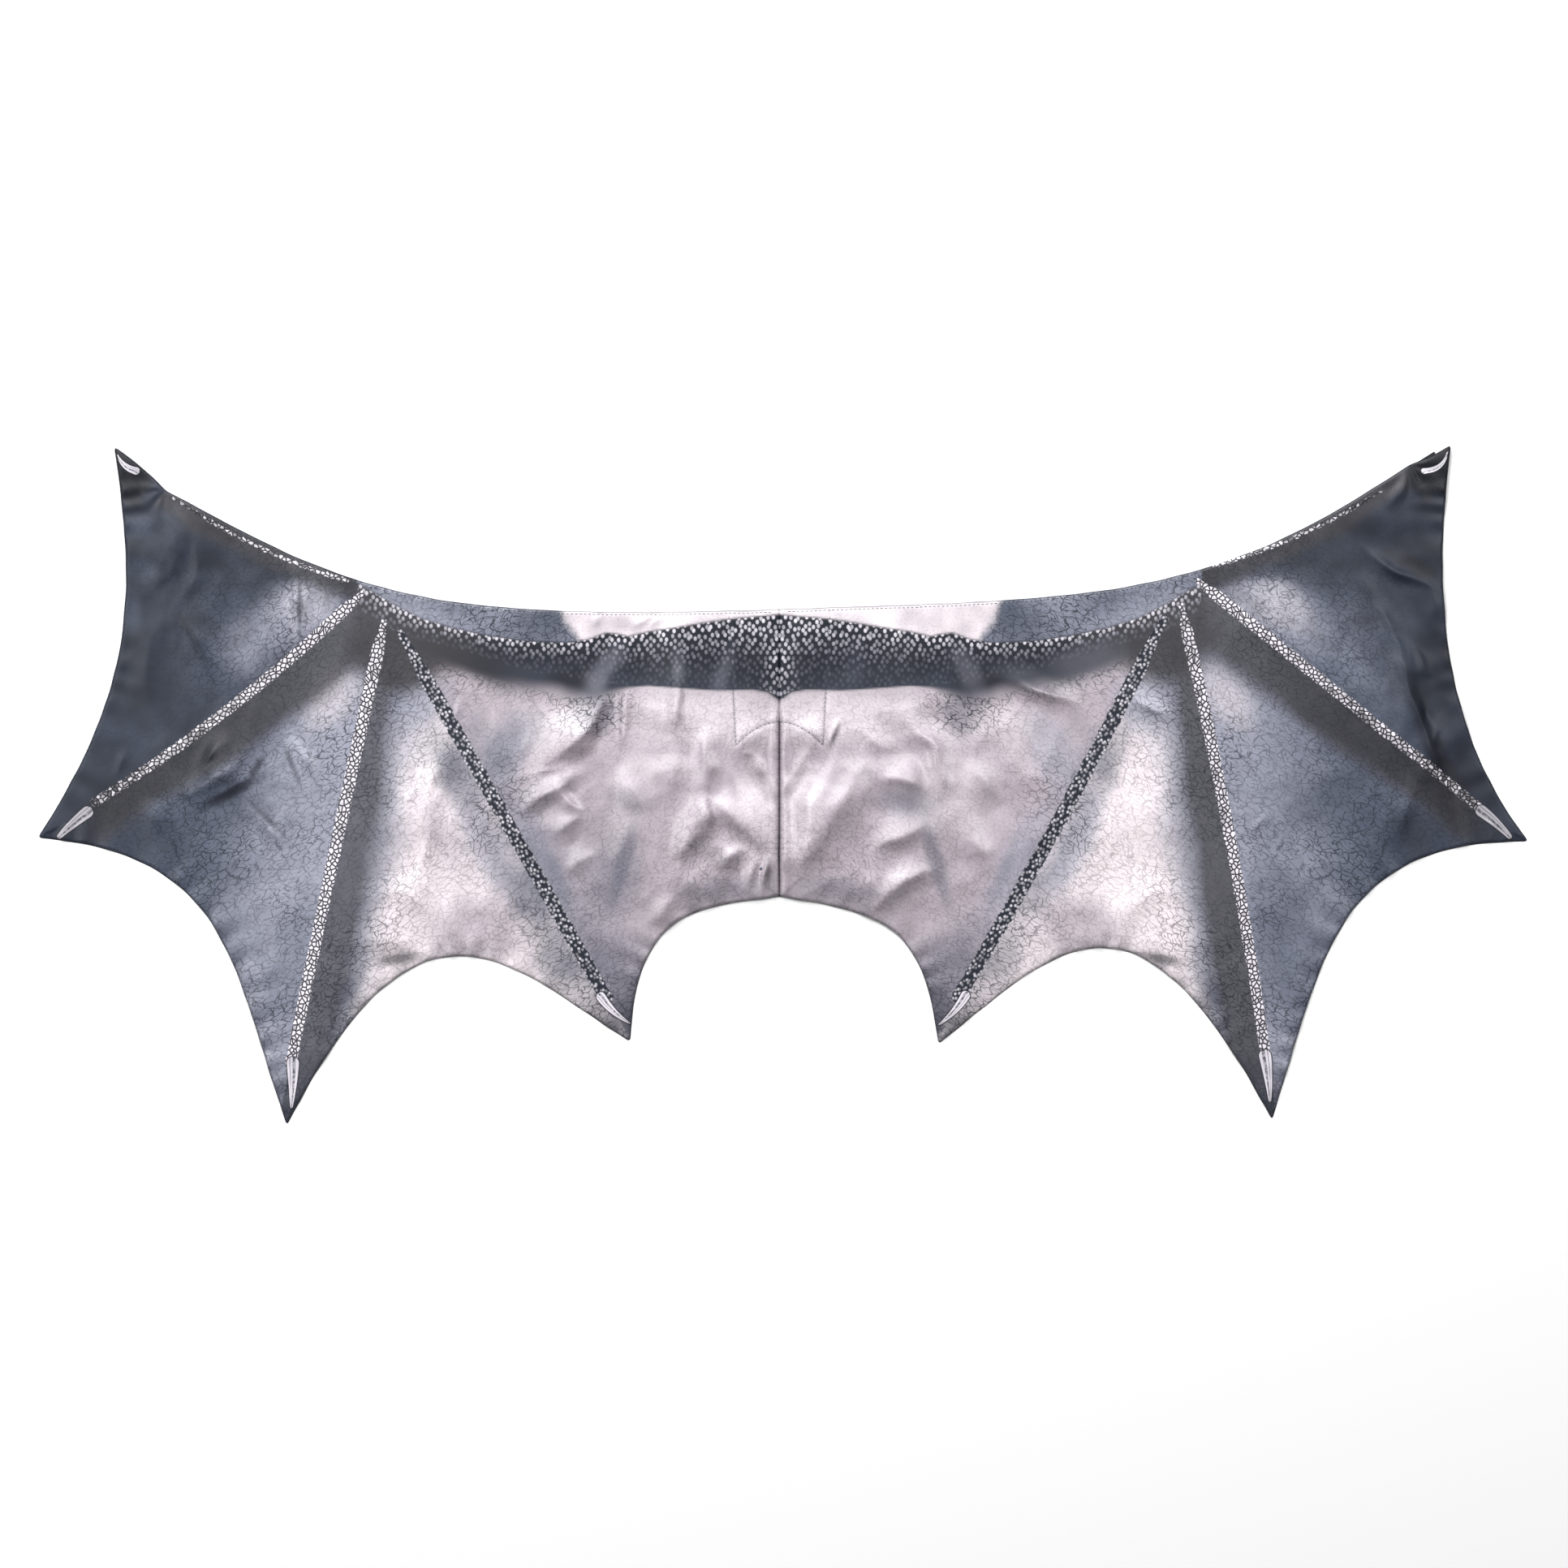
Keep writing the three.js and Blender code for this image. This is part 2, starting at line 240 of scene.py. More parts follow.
# Width of the shadow beside a bone, at shares of the way along it
SHADOWS = {
    "finger1": [(0.1, 39), (0.35, 39), (0.55, 37), (0.75, 31), (0.9, 27)],
    "finger2": [(0.15, 20), (0.35, 28), (0.55, 31), (0.86, 34)],
}

# Printed claws: from the base to the point, with the bow, the half width at the base, the share left at the
# point and how pale it is
Claw = namedtuple("Claw", "start end bow base point pale")
CLAWS = {
    "left": [
        Claw((566, -22), (589, -42), 0.6, 4.6, 0.4, 0.42),
        Claw((398, -227), (399, -263), -0.4, 4.8, 0.2, 0.8),
        Claw((146, -173), (122, -195), 1.8, 3.7, 0.1, 0.9),
        Claw((526, 257), (541, 270), -2.6, 3.0, 0.1, 0.75),
    ],
    "right": [
        Claw((574, -21), (597, -42), 0.9, 4.6, 0.4, 0.42),
        Claw((397, -221), (401, -258), 0.6, 4.8, 0.2, 0.8),
        Claw((152, -172), (130, -196), 1.8, 3.7, 0.1, 0.9),
        Claw((527, 257), (546, 273), -5.0, 2.4, 0.1, 0.95),
    ],
}

# Soft patches of the print, with half length and half width about a middle and the heading of the length.
# Those of one wing are painted light and shade where its cloth lies lighter or darker: painted highlights on
# its folds, and painted shadows in its fold valleys and beside its creases.
Patch = namedtuple("Patch", "middle long wide heading paint weight")
PRINT_AND_SHADING_PATCHES = {
    "both": [
        Patch((55, 56), 80, 28, 0, "blush", 0.5),
        # Painted highlight beside the centre back seam, on both wings
        Patch((18, -25), 62, 24, 90, "blush", 0.25),
        Patch((50, -86), 50, 14, -6, "steel", 0.35),
        Patch((128, -64), 52, 9, -74, "steel", 0.5),
        Patch((184, -70), 42, 7, -112, "steel", 0.35),
        Patch((150, 60), 26, 26, 0, "steel", 0.45),
        Patch((192, 44), 52, 28, -35, "blush", 0.3),
        Patch((226, 22), 56, 24, -60, "mist", 0.55),
        Patch((196, -66), 80, 24, -117, "mist", 0.6),
        Patch((140, -155), 66, 46, 60, "steel", 0.65),
        # Painted shadow on one side of a fold beside the third finger
        Patch((262, 26), 46, 12, -62, "steel", 0.3),
        Patch((240, -50), 84, 20, -117, "mist", 0.75),
        Patch((245, -116), 52, 34, -20, "mauve", 0.9),
        Patch((312, -142), 22, 7, -10, "taupe", 0.8),
        Patch((402, -150), 90, 34, -72, "steel", 0.5),
        Patch((298, 66), 38, 34, 0, "mist", 0.85),
        Patch((356, -172), 24, 13, -55, "slate", 0.6),
        Patch((365, 72), 40, 22, -50, "blush", 0.4),
        # Painted shade in the valleys of the folds in the second gore
        Patch((452, -6), 66, 18, 28, "slate", 0.4),
        Patch((412, -120), 80, 18, -72, "mist", 0.2),
        Patch((520, -40), 60, 28, 15, "slate", 0.6),
        Patch((390, 139), 48, 35, -20, "mist", 1.0),
        Patch((388, 146), 34, 24, -20, "blush", 0.1),
        Patch((455, 118), 80, 60, -50, "steel", 0.42),
        Patch((490, 52), 80, 26, -40, "steel", 0.26),
    ],
    # Painted light and shade on the left wing only: dark fold valleys, crease shadows and lighter highlights
    "left": [
        Patch((461, 17), 20, 5, -36, "ink", 0.65),
        Patch((455, 11), 26, 4, -42, "mist", 0.22),
        Patch((447, -6), 38, 6.5, -28, "ink", 0.75),
        Patch((427, 15), 16, 5, -60, "ink", 0.6),
        Patch((524, 212), 15, 13, 0, "steel", 0.6),
        Patch((521, 176), 18, 13, 0, "steel", 0.6),
        Patch((529, 140), 11, 22, 0, "steel", 0.5),
        Patch((465, 187), 18, 14, 0, "ink", 0.4),
        Patch((398, 16), 26, 3.5, -112, "ink", 0.5),
        Patch((420, -26), 28, 3.5, -136, "ink", 0.45),
        Patch((392, 146), 34, 2.5, 90, "slate", 0.7),
        Patch((478, 120), 28, 3, 58, "ink", 0.4),
        Patch((60, -54), 34, 10, 24, "taupe", 0.35),
        Patch((505, 98), 70, 46, 80, "ink", 0.3),
        Patch((226, 30), 34, 20, -50, "steel", 0.35),
        Patch((133, -78), 44, 28, -60, "steel", 0.42),
        Patch((122, -14), 28, 18, 0, "steel", 0.22),
        Patch((240, -126), 44, 24, 0, "mauve", 0.55),
        Patch((22, -18), 34, 12, 75, "blush", 0.35),
        Patch((318, -136), 30, 13, 12, "taupe", 0.4),
        Patch((266, 12), 44, 26, -117, "steel", 0.75),
        Patch((201, -97), 36, 24, -117, "steel", 0.6),
        Patch((184, -142), 34, 26, -117, "steel", 0.6),
        Patch((280, -30), 60, 18, -118, "mauve", 0.5),
        Patch((430, 114), 42, 36, -38, "mist", 0.42),
        Patch((205, 42), 46, 26, -35, "steel", 0.2),
        Patch((165, -80), 120, 56, -117, "steel", 0.22),
        Patch((8, -74), 22, 6, 82, "taupe", 0.6),
        Patch((219, -22), 180, 24, -117, "steel", 0.35),
        Patch((229, -46), 170, 20, -117, "steel", 0.35),
        Patch((275, -74), 110, 60, -80, "mauve", 0.32),
    ],
    # Painted light and shade on the right wing only: the shadow beside the long outer crease, and lighter and
    # darker cloth
    "right": [
        Patch((452, 92), 120, 52, -52, "steel", 0.7),
        Patch((470, 108), 80, 40, -52, "mist", 0.2),
        Patch((412, 142), 50, 34, -35, "mist", 0.6),
        Patch((410, 146), 34, 22, -35, "blush", 0.25),
        Patch((558, 50), 130, 32, -74, "ink", 0.45),
        Patch((533, 36), 86, 12, -70, "ink", 0.8),
        Patch((518, 181), 36, 8, -22, "ink", 0.65),
        Patch((520, 190), 60, 24, -30, "ink", 0.35),
        Patch((516, -40), 44, 18, -66, "ink", 0.4),
        Patch((104, -14), 34, 18, -4, "steel", 0.5),
        Patch((420, -130), 110, 40, -72, "steel", 0.66),
        Patch((410, -10), 90, 60, -40, "steel", 0.28),
        Patch((146, -8), 46, 32, -40, "blush", 0.3),
        Patch((224, -146), 18, 7, 38, "taupe", 0.7),
        Patch((266, 22), 44, 24, -117, "steel", 0.5),
        Patch((202, -90), 30, 16, -117, "steel", 0.4),
        Patch((185, -137), 34, 24, -117, "steel", 0.45),
        Patch((430, 118), 34, 26, -39, "mist", 0.25),
        Patch((498, 96), 42, 20, -55, "slate", 0.45),
        Patch((547, 12), 26, 10, -39, "ink", 0.6),
        Patch((45, 42), 15, 3, 69, "taupe", 0.7),
        Patch((241, -23), 160, 18, -117, "steel", 0.28),
    ],
}

# Painted sheen: lighter streaks where folds cross the printed arm and catch the light, and darker patches on
# the pale strip above it
PAINTED_SHEENS_AND_STRIP_PATCHES = {
    "left": [
        Patch((143, 94), 34, 13, -52, "mist", 0.26),
        Patch((134, 133), 26, 9, 6, "mauve", 0.5),
        Patch((52, 143), 24, 4, 0, "mauve", 0.4),
        Patch((82, 96), 26, 8, 88, "mist", 0.14),
        Patch((46, 92), 30, 9, -72, "mist", 0.16),
    ],
    "right": [
        Patch((154, 94), 30, 12, -64, "mist", 0.16),
        Patch((110, 136), 30, 8, 6, "mauve", 0.4),
        Patch((62, 100), 26, 12, 84, "steel", 0.2),
        Patch((252, 100), 44, 22, 22, "mist", 0.16),
    ],
}

# The printed arm: at each distance out from the seam its upper limit, where its scales die out, and its lower
# limit
Arm = namedtuple("Arm", "out upper scales lower")
ARM = [
    Arm(0, 140, 66, 69),
    Arm(10, 139, 74, 76),
    Arm(22, 138, 78, 78),
    Arm(50, 135, 84, 77),
    Arm(80, 130, 86, 79),
    Arm(107, 126, 88, 81),
    Arm(124, 122, 90, 80),
    Arm(132, 124, 91, 78),
    Arm(142, 125, 92, 76),
    Arm(155, 120, 93, 74),
    Arm(173, 117, 97, 74),
    Arm(206, 118, 101, 82),
    Arm(240, 123, 113, 91),
    Arm(267, 129, 121, 98),
    Arm(293, 137, 127, 110),
    Arm(315, 148, 134, 124),
    Arm(345, 166, 150, 142),
]

# Darkening of the pointed tips: how far it reaches, and how strong it is
TIPS = {"finger1": (66, 0.8), "finger2": (60, 0.55), "finger3": (58, 0.65)}

# Places of the first and the last edge in each wing's list of edges
NECK_EDGE, SEAM_EDGE = 0, 6

# Measures for points that lie far from a bone, a claw or the arm
FAR, OUTSIDE = 900, -50.0

# Wavelengths and heights of the noise in the cloth: swells where it is crumpled, the warp of their lines, the
# strays of the folds' lines, and the fine crumpling of the face
Wave = namedtuple("Wave", "pitch height")
BROAD_SWELL, SHORT_SWELL = Wave(54, 2.6), Wave(25, 0.5)
SWELL_WARP, FOLD_STRAY, FOLD_SHAKE = Wave(80, 14), Wave(38, 4.5), Wave(15, 1.6)
FINE_CRUMPLE = Wave(11, 0.1)

# Lips beside the centre back seam, the dent along the yoke's stitching, gathers at the tuck, and the thin hem
LIP_OUT, LIP_WIDTH, LIP_HEIGHT = 4.6, 3.2, 1.7
DENT_WIDTH, DENT_DEPTH = 1.6, 0.55
GATHERS, GATHER_HEIGHT = 9, 0.36
THIN_EDGE, LEAST_WALL = 0.15, 0.2

# Cells of the print's patterns, along and across: crackle, its short fine runs, scales and beads
CRACKLE_CELL, FINE_CELL = (10.5, 4.8), (6, 2.7)
ARM_SCALE, BONE_SCALE, BEAD = (5.6, 7.4), (5.4, 4.5), (3.5, 3.1)

# Yoke patch and elastic loops behind the wings, as in the part
YOKE_TOP, YOKE_HALF_TOP, YOKE_FOOT, YOKE_HALF_FOOT, YOKE_ARCH = 141, 43, 33, 37, 19
YOKE_COLUMNS, YOKE_ROWS = 44, 54
PATCH_WALL, PATCH_EDGE, PATCH_ROUNDING = 1.0, 0.55, 0.06
ELASTIC_WALL, ELASTIC_SOFTENING = 0.9, 0.12
BAND_STEPS, RING_STEPS, BEND_STEPS = 13, 33, 9
CLEARANCE = 0.3
Loop = namedtuple("Loop", "middle heading length width slit")
LOOPS = {
    "left": {
        "shoulder_loop_left": Loop((66.8, 30), -78, 160, 18, 1.4),
        "finger_loop_left": Loop((509.5, 240.5), 36, 42, 9, 0.5),
    },
    "right": {
        "shoulder_loop_right": Loop((66.8, 30), -78, 160, 18, 1.4),
        "finger_loop_right": Loop((520, 258), 32, 42, 9, 0.5),
    },
}
RISE_MARGIN, RISE_FALL = 20, 34

# Stitches: how far they lie in from the patch's outline and the neck edge, how far they stand proud, the
# share of the pitch that is thread, and the samples of the two lines that they run along
YOKE_INSET, NECK_INSET, STITCH_PROUD, STITCH_SHARE = 1.5, 2.2, 0.08, 0.74
NECK_RUN, YOKE_RUN = slice(20, -60), slice(2, None)

# Stage, in metres, with bearings in degrees from straight beyond the neck edge
LIGHT_BEARINGS = (-88, -50, -12, 26, 64)
RAKING_PLACE = (-1.2, 3.4, 1.7)
CAMERA_PLACE = (0.0007, 0.001)
LENS, SENSOR = 85, 36
FLOOR_REACH = 6


def shade(red, green, blue):
    """A screen colour, 0 to 255 a channel, as linear light."""
    share = np.array([red, green, blue]) / 255
    return tuple(np.where(share <= 0.04045, share / 12.92, ((share + 0.055) / 1.055) ** 2.4))


def number_setting(name, description, value, **kind):
    return FloatProperty(name=name, description=description, default=value, **kind)


def length_setting(name, description, millimetres):
    kind = {"min": 0, "unit": "LENGTH", "subtype": "DISTANCE", "precision": 4}
    return number_setting(name, description, millimetres * MM, **kind)


def colour_setting(name, description, red, green, blue):
    return FloatVectorProperty(
        name=name,
        description=description,
        default=shade(red, green, blue),
        min=0,
        max=1,
        subtype="COLOR",
    )


class WingSettings(bpy.types.PropertyGroup):
    """Sizes of the satin wings and of what is sewn to them."""

    wall: length_setting("Satin wall", "Thickness of the satin with its turned hems", 1.4)
    cell: length_setting("Face cell", "Size of the triangles on the printed face", 1.6)
    under_cell: length_setting("Underside cell", "Size of the triangles underneath", 6)
    hem_roll: length_setting("Hem roll", "How far in from the edge the hem rounds over", 0.8)
    pucker_pitch: length_setting("Pucker pitch", "Length of one ripple along a hem", 26)
    pucker_reach: length_setting("Pucker reach", "How far the hem's ripples run in", 15)
    wander: length_setting("Edge wander", "How far a hem strays from its line", 0.5)
    stitch_pitch: length_setting("Stitch pitch", "Length of a stitch and the gap after it", 3.6)
    thread: length_setting("Thread", "Diameter of the sewing thread", 0.5)
    creases: number_setting("Creases", "Depth of the fine creases", 1, min=0, max=2, subtype="FACTOR")
    crumples: number_setting("Crumples", "Depth of the soft crumpling", 1, min=0, max=2, subtype="FACTOR")
    seed: IntProperty(name="Seed", description="Seed of the crumpling and the ripples", default=7)


class PrintSettings(bpy.types.PropertyGroup):
    """Colours of the print, the cloth behind it, the elastic and the thread."""

    blush: colour_setting("Blush", "Palest membrane", 243, 231, 236)
    mauve: colour_setting("Mauve", "Membrane at the back", 179, 167, 177)
    mist: colour_setting("Mist", "Pale blue grey membrane", 151, 153, 171)
    steel: colour_setting("Steel", "Middle blue grey membrane", 79, 86, 104)
    slate: colour_setting("Slate", "Dark blue grey membrane", 42, 48, 61)
    taupe: colour_setting("Taupe", "Shadow beside the bones", 62, 60, 64)
    ink: colour_setting("Ink", "Darkest tips and gaps between scales", 14, 15, 25)
    bone: colour_setting("Bone", "Scales and claws", 242, 236, 247)
    patch: colour_setting("Patch", "Plain cloth of the yoke patch", 91, 93, 102)
    elastic: colour_setting("Elastic", "Elastic loops", 29, 29, 33)
    thread: colour_setting("Thread", "Sewing thread", 62, 62, 72)


class StageSettings(bpy.types.PropertyGroup):
    """Floor, lights and camera."""

    floor: colour_setting("Floor", "Plain pale floor", 250, 250, 250)
    sky: number_setting("Sky", "Strength of the even light from all round", 0.1)
    power: number_setting("Power", "Power of all the soft lights", 172, subtype="POWER")
    raking: number_setting("Raking", "Power of the low light beyond the neck edge", 132, subtype="POWER")
    reach: number_setting("Reach", "How far off the soft lights stand", 2.5, unit="LENGTH")
    rise: number_setting("Rise", "Height of the soft lights", 3, unit="LENGTH")
    softness: number_setting("Softness", "Width of each soft light", 1.5, unit="LENGTH")
    height: number_setting("Camera height", "Camera above the floor", 3.029, unit="LENGTH")


# Shapes


def smooth(low, high, values):
    """0 below low, 1 above high and a smooth rise between; low may be the larger."""
    share = np.clip((values - low) / (high - low), 0, 1)
    return share * share * (3 - 2 * share)


def noise(points, wavelength, seed):
    """Smooth noise from about -1 to 1, the same each run: slopes on a lattice, blended."""
    angles = np.random.default_rng(seed).uniform(0, 2 * np.pi, (64, 64))
    place = points / wavelength + 1000.5
    cell = np.floor(place).astype(int)
    rest = place - cell
    ease = rest**3 * (rest * (rest * 6 - 15) + 10)
    total = 0
    for i in (0, 1):
        for j in (0, 1):
            angle = angles[(cell[:, 0] + i) % 64, (cell[:, 1] + j) % 64]
            slope = np.cos(angle) * (rest[:, 0] - i) + np.sin(angle) * (rest[:, 1] - j)
            share = (ease[:, 0] if i else 1 - ease[:, 0]) * (ease[:, 1] if j else 1 - ease[:, 1])
            total = total + slope * share
    return 1.6 * total


def heading(degrees):
    angle = math.radians(degrees)
    return np.array([math.cos(angle), math.sin(angle)])


def turned(points, degrees):
    cosine, sine = heading(degrees)
    return points @ np.array([[cosine, -sine], [sine, cosine]]).T


def beside(points, line):
    """Share along a bowed line, and distance across it with its left side positive, at each point."""
    run = np.subtract(line.end, line.start)
    offset = points - np.array(line.start)
    share = offset @ run / (run @ run)
    held = np.clip(share, 0, 1)
    across = (run[0] * offset[:, 1] - run[1] * offset[:, 0]) / np.hypot(*run)
    return share, across - 4 * line.bow * held * (1 - held)


def ridge(points, fold):
    """Height of a fold: a narrow rounded crest, with flanks that flatten out to their feet and the ends."""
    share, across = beside(points, fold)
    reach = np.where(across > 0, fold.left, fold.right)
    crest = 0.22 * reach
    flank = np.clip(1 - (np.hypot(across, crest) - crest) / (1.65 * reach), 0, 1) ** 2
    return fold.height * smooth(0, 0.5, share) * smooth(1, 0.5, share) * flank


def tree_of(points):
    tree = KDTree(len(points))
    for index, point in enumerate(points):
        tree.insert((*point, 0), index)
    tree.balance()
    return tree


class Border:
    """A wing's outline: fine samples for distances, and every fourth, anticlockwise, as the mesh's rim."""

    per_cell = 4
    curve_samples = 600
    stray_pitch, stray_fade = 23, 25
    blunt_reach, blunt_steps = (14, 7), 10

    def __init__(self, side, settings):
        edges = EDGES[side]
        lines = [self.edge_line(CORNERS[side], mark, edge, settings) for mark, edge in enumerate(edges)]
        counts = [len(line) for line in lines]
        self.puckers = np.repeat([edge.pucker for edge in edges], counts)
        self.marks = np.repeat(np.arange(len(edges)), counts)
        self.points = np.concatenate(lines)
        self.blunt_tips([corner for name, corner in CORNERS[side].items() if name not in ("neck", "hem")])
        steps = np.hypot(*np.diff(self.points, axis=0, append=self.points[:1]).T)
        self.along = np.cumsum(steps) - steps
        self.rim = self.points[:: self.per_cell][::-1]
        self.tree = tree_of(self.points)

    def edge_line(self, corners, mark, edge, settings):
        """Even samples of one edge, which strays a little sideways unless it is the seam."""
        start, end = np.array(corners[edge.start]), np.array(corners[edge.end])
        across = np.hypot(*(end - start))
        after = start + heading(edge.leave) * edge.pull * across
        before = end - heading(edge.arrive) * edge.draw * across
        t = np.linspace(0, 1, self.curve_samples)[:, None]
        curve = (1 - t) ** 3 * start + 3 * t * (1 - t) ** 2 * after
        curve = curve + 3 * t * t * (1 - t) * before + t**3 * end
        run = np.concatenate([[0], np.cumsum(np.hypot(*np.diff(curve, axis=0).T))])
        count = self.per_cell * max(2, round(run[-1] / (settings.cell / MM)))
        stops = np.linspace(0, run[-1], count, endpoint=False)
        line = np.stack([np.interp(stops, run, curve[:, axis]) for axis in (0, 1)], 1)
        if mark == SEAM_EDGE:
            return line
        along = np.gradient(line, axis=0)
        normal = np.stack([along[:, 1], -along[:, 0]], 1) / np.hypot(*along.T)[:, None]
        stray = noise(np.stack([stops, stops * 0 + mark * 50], 1), self.stray_pitch, settings.seed + mark)
        fade = smooth(0, self.stray_fade, stops) * smooth(0, self.stray_fade, run[-1] - stops)
        return line + normal * (stray * fade * settings.wander / MM)[:, None]

    def blunt_tips(self, tips):
        """Rounds the outline close to the tips."""
        close = np.min([np.hypot(*(self.points - np.array(tip)).T) for tip in tips], axis=0)
        window = range(-self.blunt_steps, self.blunt_steps + 1)
        blunt = np.mean([np.roll(self.points, step, axis=0) for step in window], axis=0)
        self.points += (blunt - self.points) * smooth(*self.blunt_reach, close)[:, None]

    def nearest(self, points):
        """Index of the nearest sample and the distance to it, for each point."""
        found = [self.tree.find((*point, 0)) for point in points]
        return np.array([f[1] for f in found]), np.array([f[2] for f in found])

    def inside(self, step):
        """Points of a triangular lattice inside the outline, clear of the rim."""
        starts, ends = self.rim, np.roll(self.rim, -1, axis=0)
        low, high = self.rim.min(axis=0), self.rim.max(axis=0)
        rows = []
        for index, up in enumerate(np.arange(low[1] + 0.37, high[1], step * math.sqrt(3) / 2)):
            crossing = (starts[:, 1] <= up) != (ends[:, 1] <= up)
            a, b = starts[crossing], ends[crossing]
            outs = np.sort(a[:, 0] + (up - a[:, 1]) * (b[:, 0] - a[:, 0]) / (b[:, 1] - a[:, 1]))
            grid = np.arange(low[0] + (index % 2) * step / 2, high[0], step)
            kept = np.searchsorted(outs, grid) % 2 == 1
            rows.append(np.stack([grid[kept], np.full(kept.sum(), up)], 1))
        points = np.concatenate(rows)
        return points[self.nearest(points)[1] > 0.6 * min(step, 1.8)]


def triangulated(border, step):
    """The rim followed by lattice points inside it, and the triangles between them, seen from above."""
    points = np.concatenate([border.rim, border.inside(step)])
    rim = list(range(len(border.rim)))
    made = delaunay_2d_cdt([tuple(p) for p in points], [], [rim], 1, 1e-6)
    source = [given[0] for given in made[3]]
    triangles = np.array([[source[v] for v in face] for face in made[2]])
    a, b, c = (points[triangles[:, k]] for k in range(3))
    area = (b[:, 0] - a[:, 0]) * (c[:, 1] - a[:, 1]) - (b[:, 1] - a[:, 1]) * (c[:, 0] - a[:, 0])
    triangles[area < 0] = triangles[area < 0][:, ::-1]
    return points, triangles


def thickness(loop):
    return 2 * ELASTIC_WALL + loop.slit


def lift(points, side):
    """How far the satin is lifted by the patch and the loops behind it."""
    behind = [(np.array([0, YOKE_FOOT]), np.array([0, YOKE_TOP]), YOKE_HALF_TOP, PATCH_WALL)]
    for loop in LOOPS[side].values():
        half = heading(loop.heading) * loop.length / 2
        middle = np.array(loop.middle)
        behind.append((middle - half, middle + half, loop.width / 2, thickness(loop)))
    highest = np.zeros(len(points))
    for start, end, half, height in behind:
        run = end - start
        share = np.clip((points - start) @ run / (run @ run), 0, 1)
        away = np.hypot(*(points - start - share[:, None] * run).T)
        level = half + RISE_MARGIN
        highest = np.maximum(highest, (height + CLEARANCE) * smooth(level + RISE_FALL, level, away))
    return highest


def crumpling(points, side):
    """How strongly the satin is crumpled at each point."""
    weights = []
    for patch in CRUMPLES[side]:
        off = np.hypot(*(points - np.array(patch.middle)).T)
        weights.append(patch.height * smooth(patch.radius, 0.3 * patch.radius, off))
    return np.max(weights, axis=0)


def strays(points, wave, seed):
    return wave.height * np.stack([noise(points, wave.pitch, seed + axis) for axis in (0, 1)], 1)


def swell(points, wave, turn, squeeze, seed):
    """Rounded ridges along the lines where a turned and squeezed noise is 0."""
    line = noise(turned(points, turn) / np.array([1, squeeze]), wave.pitch, seed)
    return wave.height * np.clip(1 - 1.6 * np.hypot(line, 0.07), 0, 1)


def underside(points, side, settings):
    """Height of the satin's underside: as in the part, with soft swells besides."""
    seed = settings.seed
    warped = points + strays(points, SWELL_WARP, seed)
    swells = swell(warped, BROAD_SWELL, 30, 1.7, seed + 2) + swell(warped, SHORT_SWELL, -20, 1.5, seed + 3)
    strayed = points + (strays(points, FOLD_STRAY, seed + 20) + strays(points, FOLD_SHAKE, seed + 22))
    folds = sum(ridge(strayed, fold) for fold in FOLDS[side])
    return lift(points, side) + folds + settings.crumples * crumpling(points, side) * swells


def yoke_stitching():
    """The yoke patch's stitched outline on one wing: down from the neck edge and along the arch."""
    down = np.linspace(0, 1, 50)
    halves = YOKE_HALF_TOP + (YOKE_HALF_FOOT - YOKE_HALF_TOP) * down
    flank = np.stack([halves, YOKE_TOP + (YOKE_FOOT - YOKE_TOP) * down], 1)
    t = np.linspace(0, 0.5, 25)[1:]
    arch = np.stack([(1 - 2 * t) * YOKE_HALF_FOOT, YOKE_FOOT + 4 * YOKE_ARCH * (t * (1 - t))], 1)
    return np.concatenate([flank, arch]) - np.array([YOKE_INSET, 0])


def distance_to(points, line):
    tree = tree_of(line)
    return np.array([tree.find((*point, 0))[2] for point in points])


def relief(points, side, border, settings):
    """Fine form of the printed face above the satin's underside and wall."""
    nearest, away = border.nearest(points)
    height = settings.creases * sum(ridge(points, fold) for fold in CREASES[side])
    small = noise(turned(points, -35) / np.array([1, 1.8]), FINE_CRUMPLE.pitch, settings.seed + 4)
    height += FINE_CRUMPLE.height * settings.crumples * (0.25 + crumpling(points, side)) * small

    # Ripples along the hems, longer and shorter by turns
    along = border.along[nearest]
    pitch = settings.pucker_pitch / MM
    drift = noise(np.stack([along, along * 0], 1), 3 * pitch, settings.seed + 5)
    strength = 0.55 + 0.45 * noise(np.stack([along, along * 0 + 300], 1), 2 * pitch, settings.seed + 6)
    ripple = np.sin(2 * np.pi * (along / pitch + 1.3 * drift)) * strength * border.puckers[nearest]
    height += ripple * np.exp(-away / (settings.pucker_reach / MM))

    # Lips beside the centre back seam, and the pull of the yoke's stitching
    lip = np.exp(-(((points[:, 0] - LIP_OUT) / LIP_WIDTH) ** 2))
    height += LIP_HEIGHT * lip * smooth(70, 48, points[:, 1])
    height -= DENT_DEPTH * np.exp(-((distance_to(points, yoke_stitching()) / DENT_WIDTH) ** 2))

    # Gathers that fan out from the tuck behind the top tip
    offset = points - np.array(CORNERS[side]["tuck"])
    far = np.hypot(*offset.T)
    bearing = np.arctan2(offset[:, 1], offset[:, 0])
    fan = np.sin(GATHERS * bearing + 1.5 * noise(points, 20, settings.seed + 8))
    height += GATHER_HEIGHT * fan * smooth(3, 10, far) * smooth(48, 14, far)

    # The hem rounds over to a thin edge
    wall = settings.wall / MM
    roll = 1 - np.exp(-away / (settings.hem_roll / MM))
    return np.maximum(wall * (THIN_EDGE + (1 - THIN_EDGE) * roll) + height * roll, LEAST_WALL)


# Print


def painted(colour, paint, weight):
    return colour + (np.array(paint) - colour) * np.clip(weight, 0, 1)[:, None]


def spread(points, patch, stray):
    """Weight of a soft patch at each point, with its edge strayed."""
    offset = turned(points - np.array(patch.middle), -patch.heading)
    far = np.hypot(offset[:, 0] / patch.long, offset[:, 1] / patch.wide) + stray
    return smooth(1.1, 0.2, far) * patch.weight


